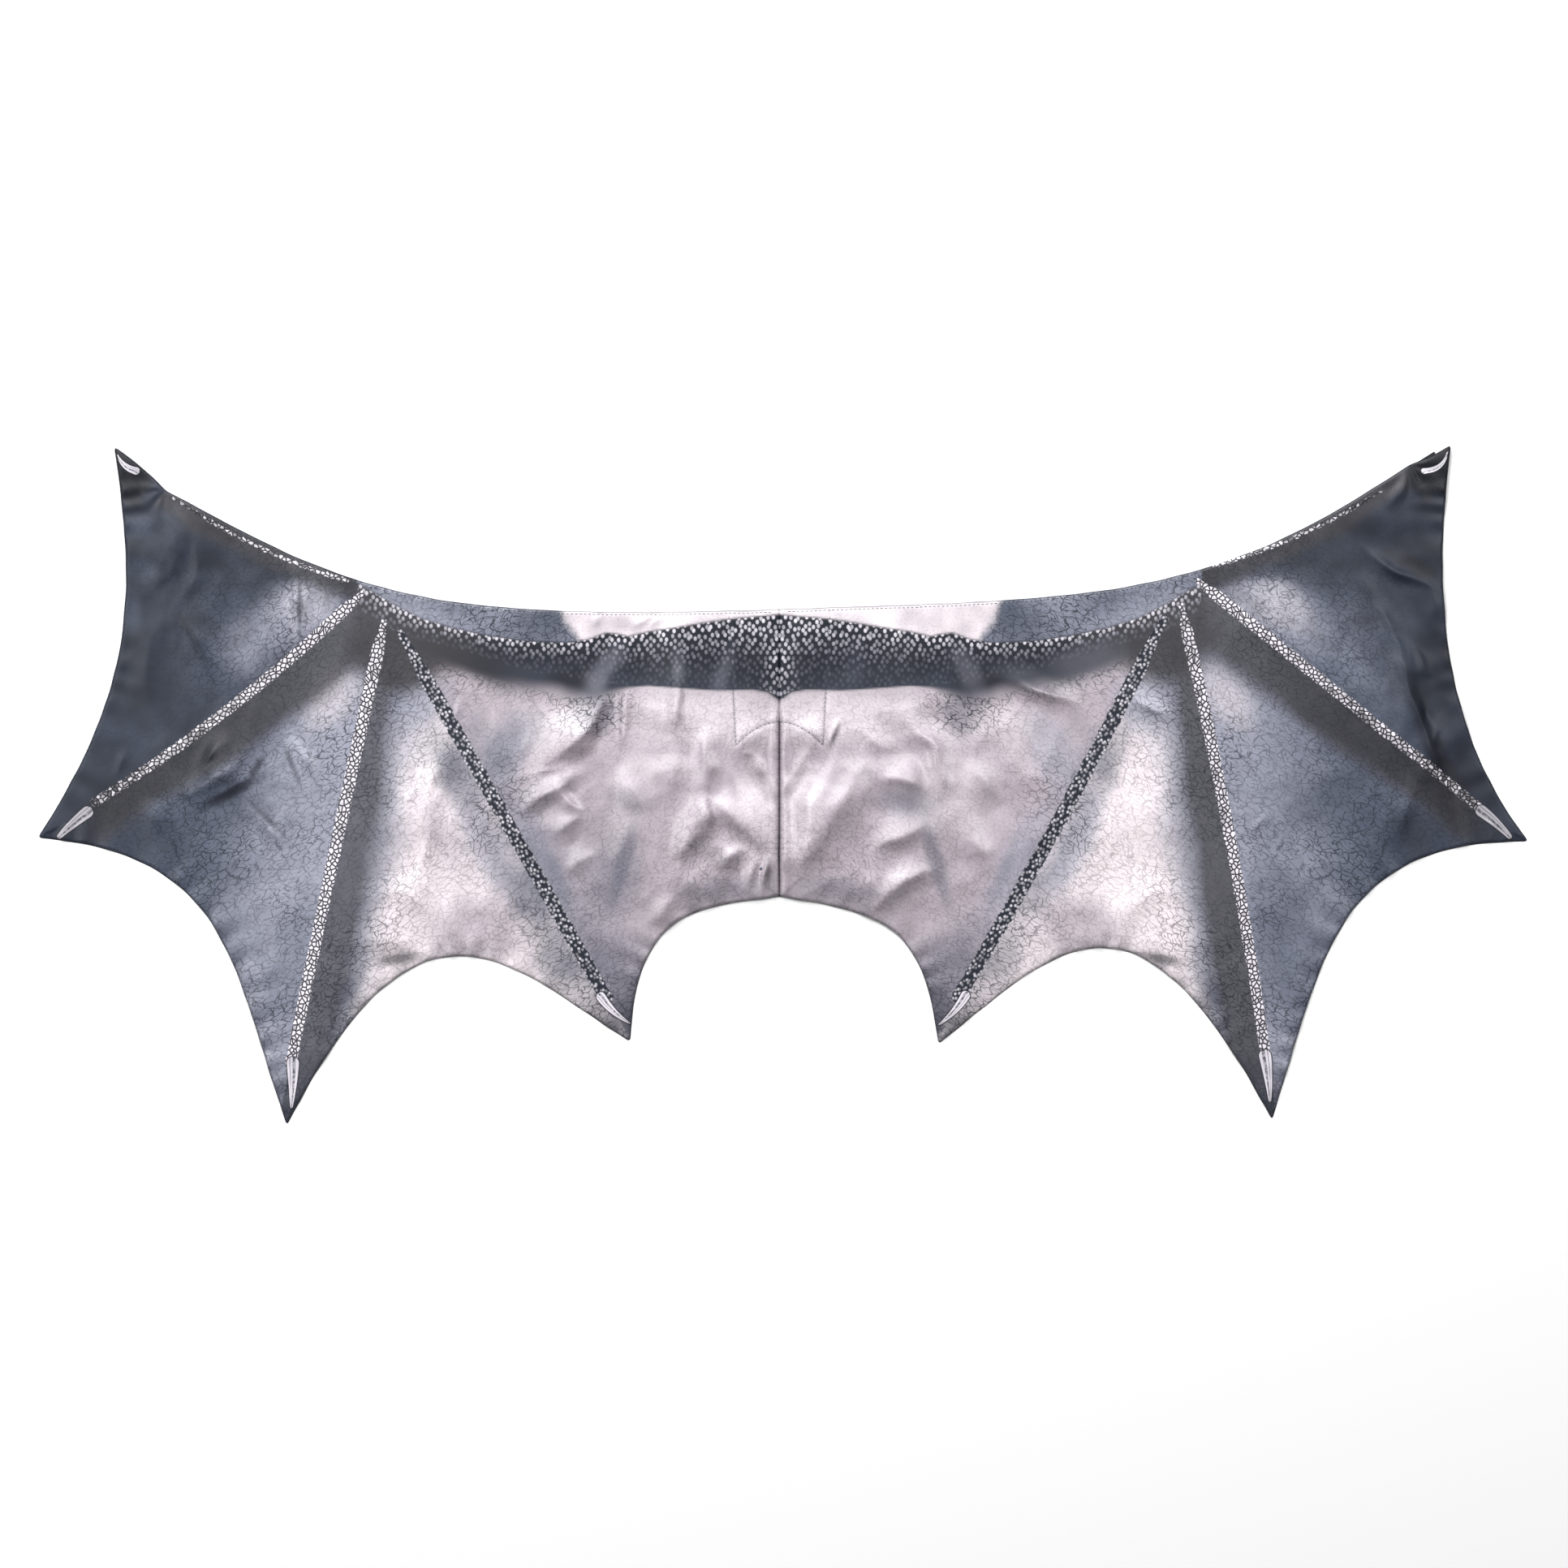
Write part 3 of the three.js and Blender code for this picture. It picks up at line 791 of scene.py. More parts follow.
class Print:
    """One wing's print at given points: soft colours, and the measures its patterns are drawn from."""

    def __init__(self, points, side, border, paints, seed):
        self.points, self.side, self.paints = points, side, paints
        self.out, self.up = points.T
        nearest, self.away = border.nearest(points)
        self.marks = border.marks[nearest]
        self.cloud = noise(points, 46, seed + 10)
        self.mottle = noise(points, 15, seed + 11)
        self.uneven = noise(points, 60, seed + 12)
        self.share, self.across = {}, {}
        for name, bone in BONES[side].items():
            self.share[name], self.across[name] = beside(points, bone)

        # Gores beyond the first, the second and the third finger
        self.outer = self.across["finger1"] > 0
        self.second = ~self.outer & (self.across["finger2"] > 0)
        self.third = ~self.outer & ~self.second & (self.across["finger3"] > 0)

        # Limits of the arm, heights above the upper and below the lower one, and depth into its scales
        self.on_arm = self.out < ARM[-1].out
        self.upper, self.scales, self.lower = (self.arm_limit(name) for name in ("upper", "scales", "lower"))
        self.above = self.up - self.upper
        self.below = self.lower - self.up
        self.body = np.where(self.on_arm, smooth(-0.8, 0.8, np.minimum(-self.above, 2 - self.below)), 0)
        self.depth = np.clip(-self.above / np.maximum(self.upper - self.scales, 6), 0, 1.5)
        self.depth *= 1 - 0.45 * smooth(150, 260, self.out)
        self.strip = np.where(self.on_arm, smooth(-2, 1.5, self.above), 0)
        self.strip_pale = smooth(5, -5, self.out - 168 - 0.5 * (self.up - 123) + 3 * self.mottle)

        self.colour = self.plain("mauve")
        self.paint_gores()
        self.paint_shadows()
        self.paint_arm()
        self.paint_edges()

    def arm_limit(self, name):
        return np.interp(self.out, [row.out for row in ARM], [getattr(row, name) for row in ARM])

    def far_from(self, place):
        return np.hypot(*(self.points - np.array(place)).T)

    def plain(self, paint):
        return np.tile(getattr(self.paints, paint), (len(self.points), 1))

    def paint(self, paint, weight):
        self.colour = painted(self.colour, getattr(self.paints, paint), weight)

    def lay(self, colours, weight):
        """Lays colours that differ from point to point over the print."""
        self.colour = self.colour * (1 - weight[:, None]) + colours * weight[:, None]

    def paint_gores(self):
        """Gores from the back one to the outermost, with shades of their own, and the soft patches, some of
        them painted light and shade.
        """
        beyond = self.across["finger2"]
        pale = painted(self.plain("blush"), self.paints.mist, smooth(64, 34, 8 * self.cloud - beyond) * 0.7)
        middle = painted(self.plain("mist"), self.paints.steel, smooth(10, 120, beyond + 14 * self.cloud))
        middle = painted(middle, self.paints.slate, smooth(110, 230, beyond + 20 * self.cloud) * 0.6)
        for gore, colours in ((self.third, pale), (self.second, middle), (self.outer, self.plain("slate"))):
            self.colour = np.where(gore[:, None], colours, self.colour)
        # Print patches, and on one wing only painted light and shade
        for patch in PRINT_AND_SHADING_PATCHES["both"] + PRINT_AND_SHADING_PATCHES[self.side]:
            self.paint(patch.paint, spread(self.points, patch, 0.1 * self.cloud + 0.06 * self.mottle))

    def paint_shadows(self):
        """Shadows beside the first two fingers, where the bones meet, and along the leading edge."""
        under = np.where(self.second, -self.across["finger1"], FAR) + 4 * self.cloud
        width = np.interp(self.share["finger1"], *zip(*SHADOWS["finger1"]))
        far_along = smooth(0.1, 0.75, self.share["finger1"])
        self.paint("taupe", smooth(width + 11, width - 9, under) * 0.86)
        self.paint("ink", smooth(width + 6, width - 14, under) * far_along * 0.45)
        under = np.where(self.third, -self.across["finger2"], FAR) + 3 * self.cloud
        width = np.interp(self.share["finger2"], *zip(*SHADOWS["finger2"]))
        # Deeper on the right wing: painted shade where that wing's cloth lies darker
        depth = {"left": 0.7, "right": 0.8}[self.side]
        self.paint("steel", smooth(width + 18, width, under) * 0.65)
        self.paint("taupe", smooth(width + 5, width - 8, under) * depth)
        meeting = np.array(BONES[self.side]["finger3"].start) - np.array([0, 4])
        off = self.far_from(meeting) + 6 * self.cloud
        self.paint("taupe", smooth(58, 30, off) * ~self.outer * 0.95)
        leading = (self.marks == NECK_EDGE) & self.outer
        self.paint("taupe", np.where(leading, smooth(24, 11, self.away + 4 * self.cloud), 0) * 0.8)

    def paint_arm(self):
        """The arm, the shadow below it, the strip above it, and painted sheen where folds cross it."""
        out, up, cloud = self.out, self.up, self.cloud
        blur = smooth(112, 160, out)
        dusk = painted(self.plain("slate"), self.paints.taupe, smooth(190, 270, out) * 0.8)
        hollow = np.hypot((out - 165) / 34, (up - 87) / 14)
        dusk = painted(dusk, self.paints.ink, smooth(1.1, 0.3, hollow) * 0.8)
        soft = smooth(1 + 15 * blur, -1 - 5 * blur, self.below + 6 * cloud * blur)
        self.lay(dusk, np.where(self.on_arm, soft, 0))
        band = painted(self.plain("steel"), self.paints.mist, 0.4 + 0.4 * cloud)
        bend = smooth(50, 10, np.abs(out - 200)) * smooth(30, 4, self.above + 8 * cloud)
        band = painted(band, self.paints.slate, bend * 0.25)
        band = painted(band, self.paints.blush, self.strip_pale * (0.78 + 0.15 * self.mottle))
        self.lay(band, self.strip)
        self.paint("ink", self.body * smooth(1.3, 0.6, self.depth) * smooth(330, 200, out) * 0.75)
        # Painted sheen across the arm, and darker patches on the strip
        for patch in PAINTED_SHEENS_AND_STRIP_PATCHES[self.side]:
            self.paint(patch.paint, spread(self.points, patch, 0.2 * self.mottle))

    def paint_edges(self):
        """Hems, tips, the centre back seam, the neck edge and the stitched line, and unevenness all over; the
        hems, the seam and the stitched line carry painted shade.
        """
        marks, away, cloud, mottle = self.marks, self.away, self.cloud, self.mottle
        # Darker towards the hems, in blotches: the print's darker edges, with painted shade from the hems'
        # puckers
        hem = np.where(marks < SEAM_EDGE, smooth(17, 0, away + 4 * mottle), 0)
        hem = hem * np.where(marks == NECK_EDGE, 0.1, 1)
        self.paint("slate", hem * (0.3 + 0.35 * cloud + 0.5 * mottle))
        for name, (reach, weight) in TIPS.items():
            off = self.far_from(CORNERS[self.side][name]) + 5 * mottle
            self.paint("slate", smooth(reach, 0.35 * reach, off) * weight)
        off = self.far_from(CORNERS[self.side]["wrist"]) + 6 * mottle
        self.paint("ink", smooth(75, 20, off) * 0.75)
        self.paint("ink", smooth(54, 38, off))
        # A dark line down the centre back seam: painted shade in the seam's groove
        self.paint("ink", smooth(1.5, 0.5, self.out) * smooth(58, 50, self.up) * 0.8)
        self.paint("slate", np.where(marks == NECK_EDGE, smooth(1.6, 0.4, away), 0) * 0.6)
        # A thin dark line along the hems: painted shade where each hem rounds over
        self.paint("ink", np.where(marks < SEAM_EDGE, smooth(1.9, 0.4, away), 0) * 0.5)
        # Painted shade along the crease that the yoke's stitching pulls in
        sewn = np.exp(-(distance_to(self.points, yoke_stitching()) ** 2))
        self.paint("slate", sewn * smooth(140, 120, self.up) * 0.6)
        uneven = 0.07 * mottle + 0.07 * cloud + self.outer * (0.2 * mottle + 0.2 * cloud)
        self.colour = self.colour * (1 + uneven)[:, None]

    def bone_measures(self):
        """Nearest bone: distance along and across it and into it from its edge, and its paleness there."""
        measures = np.tile([0.0, 0.0, OUTSIDE], (len(self.points), 1))
        paleness = np.zeros(len(self.points))
        for name, bone in BONES[self.side].items():
            long = np.hypot(*np.subtract(bone.end, bone.start))
            share, across = self.share[name], self.across[name]
            held = np.clip(share, 0, 1)
            half = bone.root + (bone.tip - bone.root) * held
            half = half - 3 * smooth(0.07 if bone.pale_tip else 0.16, 0, share)
            past = np.maximum(np.abs(share - 0.5) - 0.5, 0) * long
            inside = half - np.hypot(across, past)
            closer = inside > measures[:, 2]
            found = np.stack([share * long + 100 * len(name), across, inside], 1)
            measures = np.where(closer[:, None], found, measures)
            paleness = np.where(closer, bone.pale_root + (bone.pale_tip - bone.pale_root) * held, paleness)
        return measures, paleness

    def claw_measures(self):
        """Nearest claw: distance into it from its edge, share across it, and its paleness."""
        claw_in = np.full(len(self.points), OUTSIDE)
        flank = np.zeros((len(self.points), 2))
        for claw in CLAWS[self.side]:
            long = np.hypot(*np.subtract(claw.end, claw.start))
            share, across = beside(self.points, claw)
            half = claw.base * (1 - (1 - claw.point) * np.clip(share, 0, 1) ** 1.2)
            past = np.maximum(np.abs(share - 0.5) - 0.5, 0) * long
            inside = half - np.hypot(across, past)
            closer = inside > claw_in
            flank[closer] = np.stack([across / half, half * 0 + claw.pale], 1)[closer]
            claw_in = np.maximum(claw_in, inside)
        return claw_in, flank

    def crackle(self):
        """Strength of the crackle: it thins out in the outer, the back and the pale gore, and on the arm."""
        outer = 0.4 + 0.6 * smooth(120, 50, self.far_from((400, 130)))
        strength = np.where(self.outer, outer, np.where(self.second | self.third, 0.95, 0.45))
        middle = np.minimum(-self.across["finger2"] - 40, self.across["finger3"])
        strength = strength * (1 - 0.45 * self.third * smooth(0, 60, middle))
        near_arm = smooth(60, 20, self.below) * smooth(60, 150, self.out)
        strength = np.maximum(strength, ~self.outer * near_arm)
        near_bone = smooth(70, 20, np.abs(self.across["finger3"]))
        strength = np.maximum(strength, ~self.outer * ~self.second * 0.8 * near_bone)
        strength = strength * (1 - self.body) * (1 - self.strip * self.strip_pale)
        return strength * (0.75 + 0.5 * self.uneven)

    def fields(self):
        bone, paleness = self.bone_measures()
        claw_in, flank = self.claw_measures()
        foot = np.maximum(self.scales - 9, self.lower + 1)
        arm_in = np.where(self.on_arm, np.minimum(-self.above, self.up - foot), OUTSIDE)
        return {
            "print": self.colour,
            "pattern": np.stack([self.out, self.up, self.crackle()], 1),
            "bone": bone,
            "look": np.stack([arm_in, self.depth, claw_in], 1),
            "accent": np.column_stack([paleness, flank]),
        }


def underside_fields(points, paints):
    """The plain underside, with neither pattern, bone, arm nor claw."""
    count = len(points)
    return {
        "print": np.tile(paints.steel, (count, 1)),
        "pattern": np.stack([*points.T, np.zeros(count)], 1),
        "bone": np.tile([0.0, 0.0, OUTSIDE], (count, 1)),
        "look": np.tile([OUTSIDE, 0.0, OUTSIDE], (count, 1)),
        "accent": np.zeros((count, 3)),
    }


# Meshes


def placed(points, heights, side):
    """Points of a wing in the shared frame, in metres."""
    out, up = points.T
    return np.stack([SEAM_X + SIDES[side] * out, up, heights], 1) * MM


def new_piece(name, corners, faces, material):
    mesh = bpy.data.meshes.new(name)
    mesh.from_pydata([tuple(c) for c in corners], [], [tuple(int(v) for v in f) for f in faces])
    mesh.validate()
    mesh.shade_smooth()
    mesh.materials.append(material)
    piece = bpy.data.objects.new(name, mesh)
    bpy.context.scene.collection.objects.link(piece)
    return piece


def add_field(mesh, name, values):
    """Values at the points of a mesh, three to a point; those of the print are colours."""
    if name == "print":
        field = mesh.attributes.new(name, "FLOAT_COLOR", "POINT")
        values = np.concatenate([values, np.ones((len(values), 1))], 1)
        field.data.foreach_set("color", values.astype(np.float32).ravel())
    else:
        field = mesh.attributes.new(name, "FLOAT_VECTOR", "POINT")
        field.data.foreach_set("vector", values.astype(np.float32).ravel())


def closed_sheet(top, top_faces, under, under_faces, rim, flip):
    """One closed shell from a top and an underside whose first points are the same anticlockwise rim."""
    count = len(top)
    a = np.arange(rim)
    b = (a + 1) % rim
    skirt = np.concatenate([np.stack([a, a + count, b + count], 1), np.stack([a, b + count, b], 1)])
    faces = np.concatenate([top_faces, under_faces[:, ::-1] + count, skirt])
    if flip:
        faces = faces[:, ::-1]
    return np.concatenate([top, under]), faces


def wing(side, settings, paints, material):
    """One satin wing, the size of its outline and its area."""
    border = Border(side, settings)
    points, triangles = triangulated(border, settings.cell / MM)
    below, below_triangles = triangulated(border, settings.under_cell / MM)
    base = underside(points, side, settings)
    top = placed(points, base + relief(points, side, border, settings), side)
    under = placed(below, underside(below, side, settings), side)
    shape = border.rim
    corners, faces = closed_sheet(top, triangles, under, below_triangles, len(shape), SIDES[side] < 0)
    piece = new_piece(f"{side}_satin", corners, faces, material)
    plain = underside_fields(below, paints)
    for name, values in Print(points, side, border, paints, settings.seed).fields().items():
        add_field(piece.data, name, np.concatenate([values, plain[name]]))
    after = np.roll(shape, -1, axis=0)
    area = 0.5 * abs(np.sum(shape[:, 0] * after[:, 1] - after[:, 0] * shape[:, 1]))
    size = shape.max(axis=0) - shape.min(axis=0)
    return piece, tuple(size * MM), area * MM * MM


# Shaders


class Wire:
    """A value in a material's nodes. Arithmetic on it adds Math nodes."""

    def __init__(self, shader, socket):
        self.shader = shader
        self.socket = socket

    def _maths(self, operation, first, second):
        return self.shader.node("ShaderNodeMath", {0: first, 1: second}, operation=operation)

    def __add__(self, other):
        return self._maths("ADD", self, other)

    def __radd__(self, other):
        return self._maths("ADD", other, self)

    def __sub__(self, other):
        return self._maths("SUBTRACT", self, other)

    def __rsub__(self, other):
        return self._maths("SUBTRACT", other, self)

    def __mul__(self, other):
        return self._maths("MULTIPLY", self, other)

    def __rmul__(self, other):
        return self._maths("MULTIPLY", other, self)

    def __truediv__(self, other):
        return self._maths("DIVIDE", self, other)

    def __rtruediv__(self, other):
        return self._maths("DIVIDE", other, self)

    def larger(self, other):
        return self._maths("MAXIMUM", self, other)

    def rise(self, low, high):
        """0 below low, 1 above high and a smooth rise between; low may be the larger."""
        inputs = {"Value": self, "From Min": low, "From Max": high}
        return self.shader.node("ShaderNodeMapRange", inputs, interpolation_type="SMOOTHSTEP")

    def parts(self):
        return [self.shader.node("ShaderNodeSeparateXYZ", {0: self}, output=axis) for axis in range(3)]


class Shader:
    """A material made of one Principled BSDF and the nodes that feed it."""

    def __init__(self, name, **constants):
        self.material = bpy.data.materials.new(name)
        self.material.use_nodes = True
        self.nodes = self.material.node_tree.nodes
        self.links = self.material.node_tree.links
        self.surface = next(n for n in self.nodes if n.type == "BSDF_PRINCIPLED")
        for socket, value in constants.items():
            self.surface.inputs[socket.replace("_", " ")].default_value = value

    def node(self, kind, inputs, output=0, **settings):
        made = self.nodes.new(kind)
        for setting, value in settings.items():
            setattr(made, setting, value)
        for key, value in inputs.items():
            self.feed(made.inputs[key], value)
        return Wire(self, made.outputs[output])

    def feed(self, socket, value):
        if isinstance(value, Wire):
            self.links.new(value.socket, socket)
        elif socket.type == "RGBA":
            socket.default_value = (*value[:3], 1)
        else:
            socket.default_value = value

    def set(self, socket, value):
        self.feed(self.surface.inputs[socket], value)

    def field(self, name, output="Vector"):
        return self.node("ShaderNodeAttribute", {}, output, attribute_name=name)

    def place(self):
        return self.node("ShaderNodeTexCoord", {}, "Object")

    def vector(self, x, y, z=0):
        return self.node("ShaderNodeCombineXYZ", {0: x, 1: y, 2: z})

    def noise(self, vector, scale, detail=2):
        return self.node(
            "ShaderNodeTexNoise", {"Vector": vector, "Scale": scale, "Detail": detail}, noise_dimensions="2D"
        )

    def cells(self, vector, feature, output, randomness=1):
        return self.node(
            "ShaderNodeTexVoronoi",
            {"Vector": vector, "Scale": 1, "Randomness": randomness},
            output,
            voronoi_dimensions="2D",
            feature=feature,
        )

    def blend(self, weight, first, second):
        return self.node("ShaderNodeMix", {0: weight, 6: first, 7: second}, 2, data_type="RGBA")

    def bump(self, height, strength, distance):
        inputs = {"Height": height, "Strength": strength, "Distance": distance}
        self.set("Normal", self.node("ShaderNodeBump", inputs))


def slanting(shader, along, across, cell):
    """Places for cells in rows that slant both ways."""
    along, across = along / cell[0], across / cell[1]
    return shader.vector(along + across, along - across)


def crackle_net(shader, out, up, bent_out, bent_up):
    """A coarse net of thin lines that lean one way, and short runs of a finer one."""
    strand = bent_out * 0.86 - bent_up * 0.5
    cross = bent_out * 0.5 + bent_up * 0.86
    coarse = shader.vector(strand / CRACKLE_CELL[0], cross / CRACKLE_CELL[1])
    coarse = shader.cells(coarse, "DISTANCE_TO_EDGE", "Distance")
    fine = shader.vector(strand / FINE_CELL[0] + 31, cross / FINE_CELL[1])
    fine = shader.cells(fine, "DISTANCE_TO_EDGE", "Distance")
    kept = shader.noise(shader.vector(out, up), 0.09).rise(0.26, 0.5)
    more = shader.noise(shader.vector(out, up + 700), 0.12).rise(0.3, 0.55)
    broken = shader.noise(shader.vector(out + 900, up), 0.28, 1).rise(0.36, 0.54)
    return (coarse.rise(0.1, 0.0) * kept).larger(fine.rise(0.17, 0.0) * more * broken)


def with_arm_scales(shader, paints, colour, out, up, arm, depth):
    """Scales on the arm, in slanting rows, brighter towards its upper side and the seam."""
    dots = slanting(shader, out, up, ARM_SCALE)
    off = shader.cells(dots, "F1", "Distance", 0.6)
    tone = shader.cells(dots, "F1", "Color", 0.6).parts()[0]
    fade = depth.rise(1.15, -0.1)
    fade = (fade * fade).larger(out.rise(20, 2) * 0.7)
    spots = off.rise(0.46, 0.2) * arm.rise(0, 1.5) * (tone * 0.6 + 0.4)
    return shader.blend(spots * (fade * 0.9 + 0.1), colour, shader.blend(fade, paints.mist, paints.bone))


def with_bones(shader, paints, colour, pale):
    """Bones with ragged edges: pale scales with dark gaps, or a dark ground with pale beads."""
    along, across, inside = shader.field("bone").parts()
    place = shader.vector(along, across)
    scale = slanting(shader, along, across, BONE_SCALE)
    gap = shader.cells(scale, "DISTANCE_TO_EDGE", "Distance")
    clump = shader.noise(place, 0.16, 1)
    hue = shader.cells(scale, "F1", "Color").parts()[0] * 0.8 + (clump - 0.4)
    lit = hue.rise(0.5 - pale, 1.8 - pale)
    light = shader.blend(gap.rise(0.05, 0.28), paints.ink, shader.blend(lit, paints.taupe, paints.bone))
    bead = shader.vector(along / BEAD[0], across / BEAD[1])
    reach = shader.cells(bead, "F1", "Distance", 0.9)
    glint = shader.cells(bead, "F1", "Color", 0.9).parts()[1]
    ground = tuple(0.5 * (ink + slate) for ink, slate in zip(paints.ink, paints.slate))
    dark = shader.blend(reach.rise(0.5, 0.12) * (glint * 0.6 + 0.16), ground, paints.bone)
    ragged = inside + (shader.noise(place, 0.42) - 0.5) * 3.2
    scales = shader.blend(pale.rise(0.0, 0.08), dark, light)
    return shader.blend(ragged.rise(-0.3, 0.5), colour, scales)


def with_claws(shader, paints, colour, streaks, claw, flank, nail_pale):
    """Claws: a dark outline, pale flanks and dark streaks between them."""
    hollow = flank + 0.22
    edge = flank - 0.5
    grey = ((hollow * hollow).rise(0.14, 0.02) * streaks).larger((edge * edge).rise(0.03, 0.0) * 0.6)
    nail = shader.blend(grey * 0.9, shader.blend(nail_pale, paints.taupe, paints.bone), paints.slate)
    colour = shader.blend(claw.rise(-1.4, -0.4), colour, paints.ink)
    return shader.blend(claw.rise(-0.5, 0.3), colour, nail)


def satin_material(paints):
    """Printed satin: soft colours, grain, crackle, scales on the arm and the bones, and claws."""
    shader = Shader("printed_satin", Specular_IOR_Level=0.2, Coat_Roughness=0.42, Coat_IOR=2.2)
    out, up, crackle = shader.field("pattern").parts()
    arm, depth, claw = shader.field("look").parts()
    pale, flank, nail_pale = shader.field("accent").parts()
    place = shader.vector(out, up)
    bent_out = out + (shader.noise(place, 0.11, 1) - 0.5) * 6
    bent_up = up + (shader.noise(shader.vector(out + 400, up), 0.11, 1) - 0.5) * 6

    colour = shader.field("print", "Color")
    colour = shader.blend(shader.noise(place, 0.55, 2).rise(0.45, 0.8) * 0.2, colour, paints.slate)
    line = shader.blend(0.88, colour, tuple(0.5 * part for part in paints.slate))
    net = crackle_net(shader, out, up, bent_out, bent_up)
    colour = shader.blend(net * crackle, colour, line)
    colour = with_arm_scales(shader, paints, colour, out, up, arm, depth)
    colour = with_bones(shader, paints, colour, pale)
    streaks = shader.noise(shader.vector(out * 0.9, up * 0.9), 0.5, 1).rise(0.3, 0.65) * 0.5 + 0.5
    colour = with_claws(shader, paints, colour, streaks, claw, flank, nail_pale)
    shader.set("Base Color", colour)
    shader.set("Roughness", 0.6)

    # Gloss of the satin in the coat, which the pale parts of the print show more of
    shine = shader.node("ShaderNodeRGBToBW", {0: colour})
    shader.set("Coat Weight", shine.rise(0.02, 0.3) * 0.62 + 0.1)
    weave = shader.noise(shader.vector(out, up * 0.35), 1.1, 1)
    rumple = shader.noise(shader.vector(bent_out, bent_up), 0.12, 3)
    shader.bump(weave * 0.04 + rumple, 0.12, 0.001)
    return shader.material


def patch_material(paints):
    shader = Shader("patch_cloth", Specular_IOR_Level=0.3, Sheen_Weight=0.1)
    x, y, _ = shader.place().parts()
    warp = shader.noise(shader.vector(x * 2200, y * 500), 1, 1)
    weft = shader.noise(shader.vector(x * 500, y * 2200), 1, 1)
    threads = warp + weft
    shader.set("Base Color", shader.blend(threads * 0.3, paints.patch, paints.slate))
    shader.set("Roughness", 0.75)
    shader.bump(threads, 0.25, 0.0003)
    return shader.material


def elastic_material(paints):
    shader = Shader("black_elastic", Specular_IOR_Level=0.3, Sheen_Weight=0.15)
    along, across, _ = shader.field("band").parts()
    rib = shader.node("ShaderNodeMath", {0: across * 4.8}, operation="SINE") * 0.5 + 0.5
    knit = shader.noise(shader.vector(along * 2.4, across * 0.8), 1, 1)
    shader.set("Base Color", shader.blend(rib * knit * 0.35, paints.elastic, paints.steel))
    shader.set("Roughness", 0.85)
    shader.bump(rib + knit * 0.4, 0.4, 0.0003)
    return shader.material


def plain_material(name, colour, roughness):
    shader = Shader(name)
    shader.set("Base Color", colour)
    shader.set("Roughness", roughness)
    return shader.material


# Operators


def wing_settings(context):
    return context.scene.wing_sizes, context.scene.wing_paints


def finish_piece(piece, node):
    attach(piece, "root")
    if node:
        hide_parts(node)


class WINGS_OT_satin(bpy.types.Operator):
    """Builds both satin wings, with their folds, hems and print"""

    bl_idname = "wings.satin"
    bl_label = "Satin wings"

    def execute(self, context):
        settings, paints = wing_settings(context)
        material = satin_material(paints)
        for side in SIDES:
            piece, flat, area = wing(side, settings, paints, material)
            finish_piece(piece, f"{side}_wing")
        return {"FINISHED"}


def yoke_plan():
    """The patch from above: points with the rim's first, triangles, the rim's count, and edge distance."""
    grids = np.meshgrid(np.linspace(-1, 1, YOKE_COLUMNS + 1), np.linspace(0, 1, YOKE_ROWS + 1))
    across, down = (grid.ravel() for grid in grids)
    half = YOKE_HALF_TOP + (YOKE_HALF_FOOT - YOKE_HALF_TOP) * down
    foot = YOKE_FOOT + YOKE_ARCH * (1 - across**2)
    points = np.stack([across * half, YOKE_TOP + (foot - YOKE_TOP) * down], 1)
    index = np.arange(len(points)).reshape(YOKE_ROWS + 1, YOKE_COLUMNS + 1)
    squares = (index[:-1, :-1], index[1:, :-1], index[1:, 1:], index[:-1, 1:])
    a, b, c, d = (corner.ravel() for corner in squares)
    faces = np.concatenate([np.stack([a, b, c], 1), np.stack([a, c, d], 1)])
    rim = np.concatenate([index[:, 0], index[-1, 1:], index[::-1, -1][1:], index[0, ::-1][1:-1]])
    order = np.concatenate([rim, np.setdiff1d(np.arange(len(points)), rim)])
    place = np.empty(len(points), int)
    place[order] = np.arange(len(points))
    edge = np.minimum(np.minimum(1 - np.abs(across), down), 1 - down)
    return points[order], place[faces], len(rim), edge[order]


class WINGS_OT_yoke(bpy.types.Operator):
    """Builds the yoke patch behind the centre"""

    bl_idname = "wings.yoke"
    bl_label = "Yoke patch"

    def execute(self, context):
        points, faces, rim, edge = yoke_plan()
        rounded = PATCH_EDGE + (1 - PATCH_EDGE) * smooth(0, PATCH_ROUNDING, edge)
        top = placed(points, PATCH_WALL * rounded, "right")
        under = placed(points, 0 * edge, "right")
        corners, shell = closed_sheet(top, faces, under, faces, rim, False)
        piece = new_piece("yoke_cloth", corners, shell, patch_material(context.scene.wing_paints))
        finish_piece(piece, "yoke_patch")
        return {"FINISHED"}


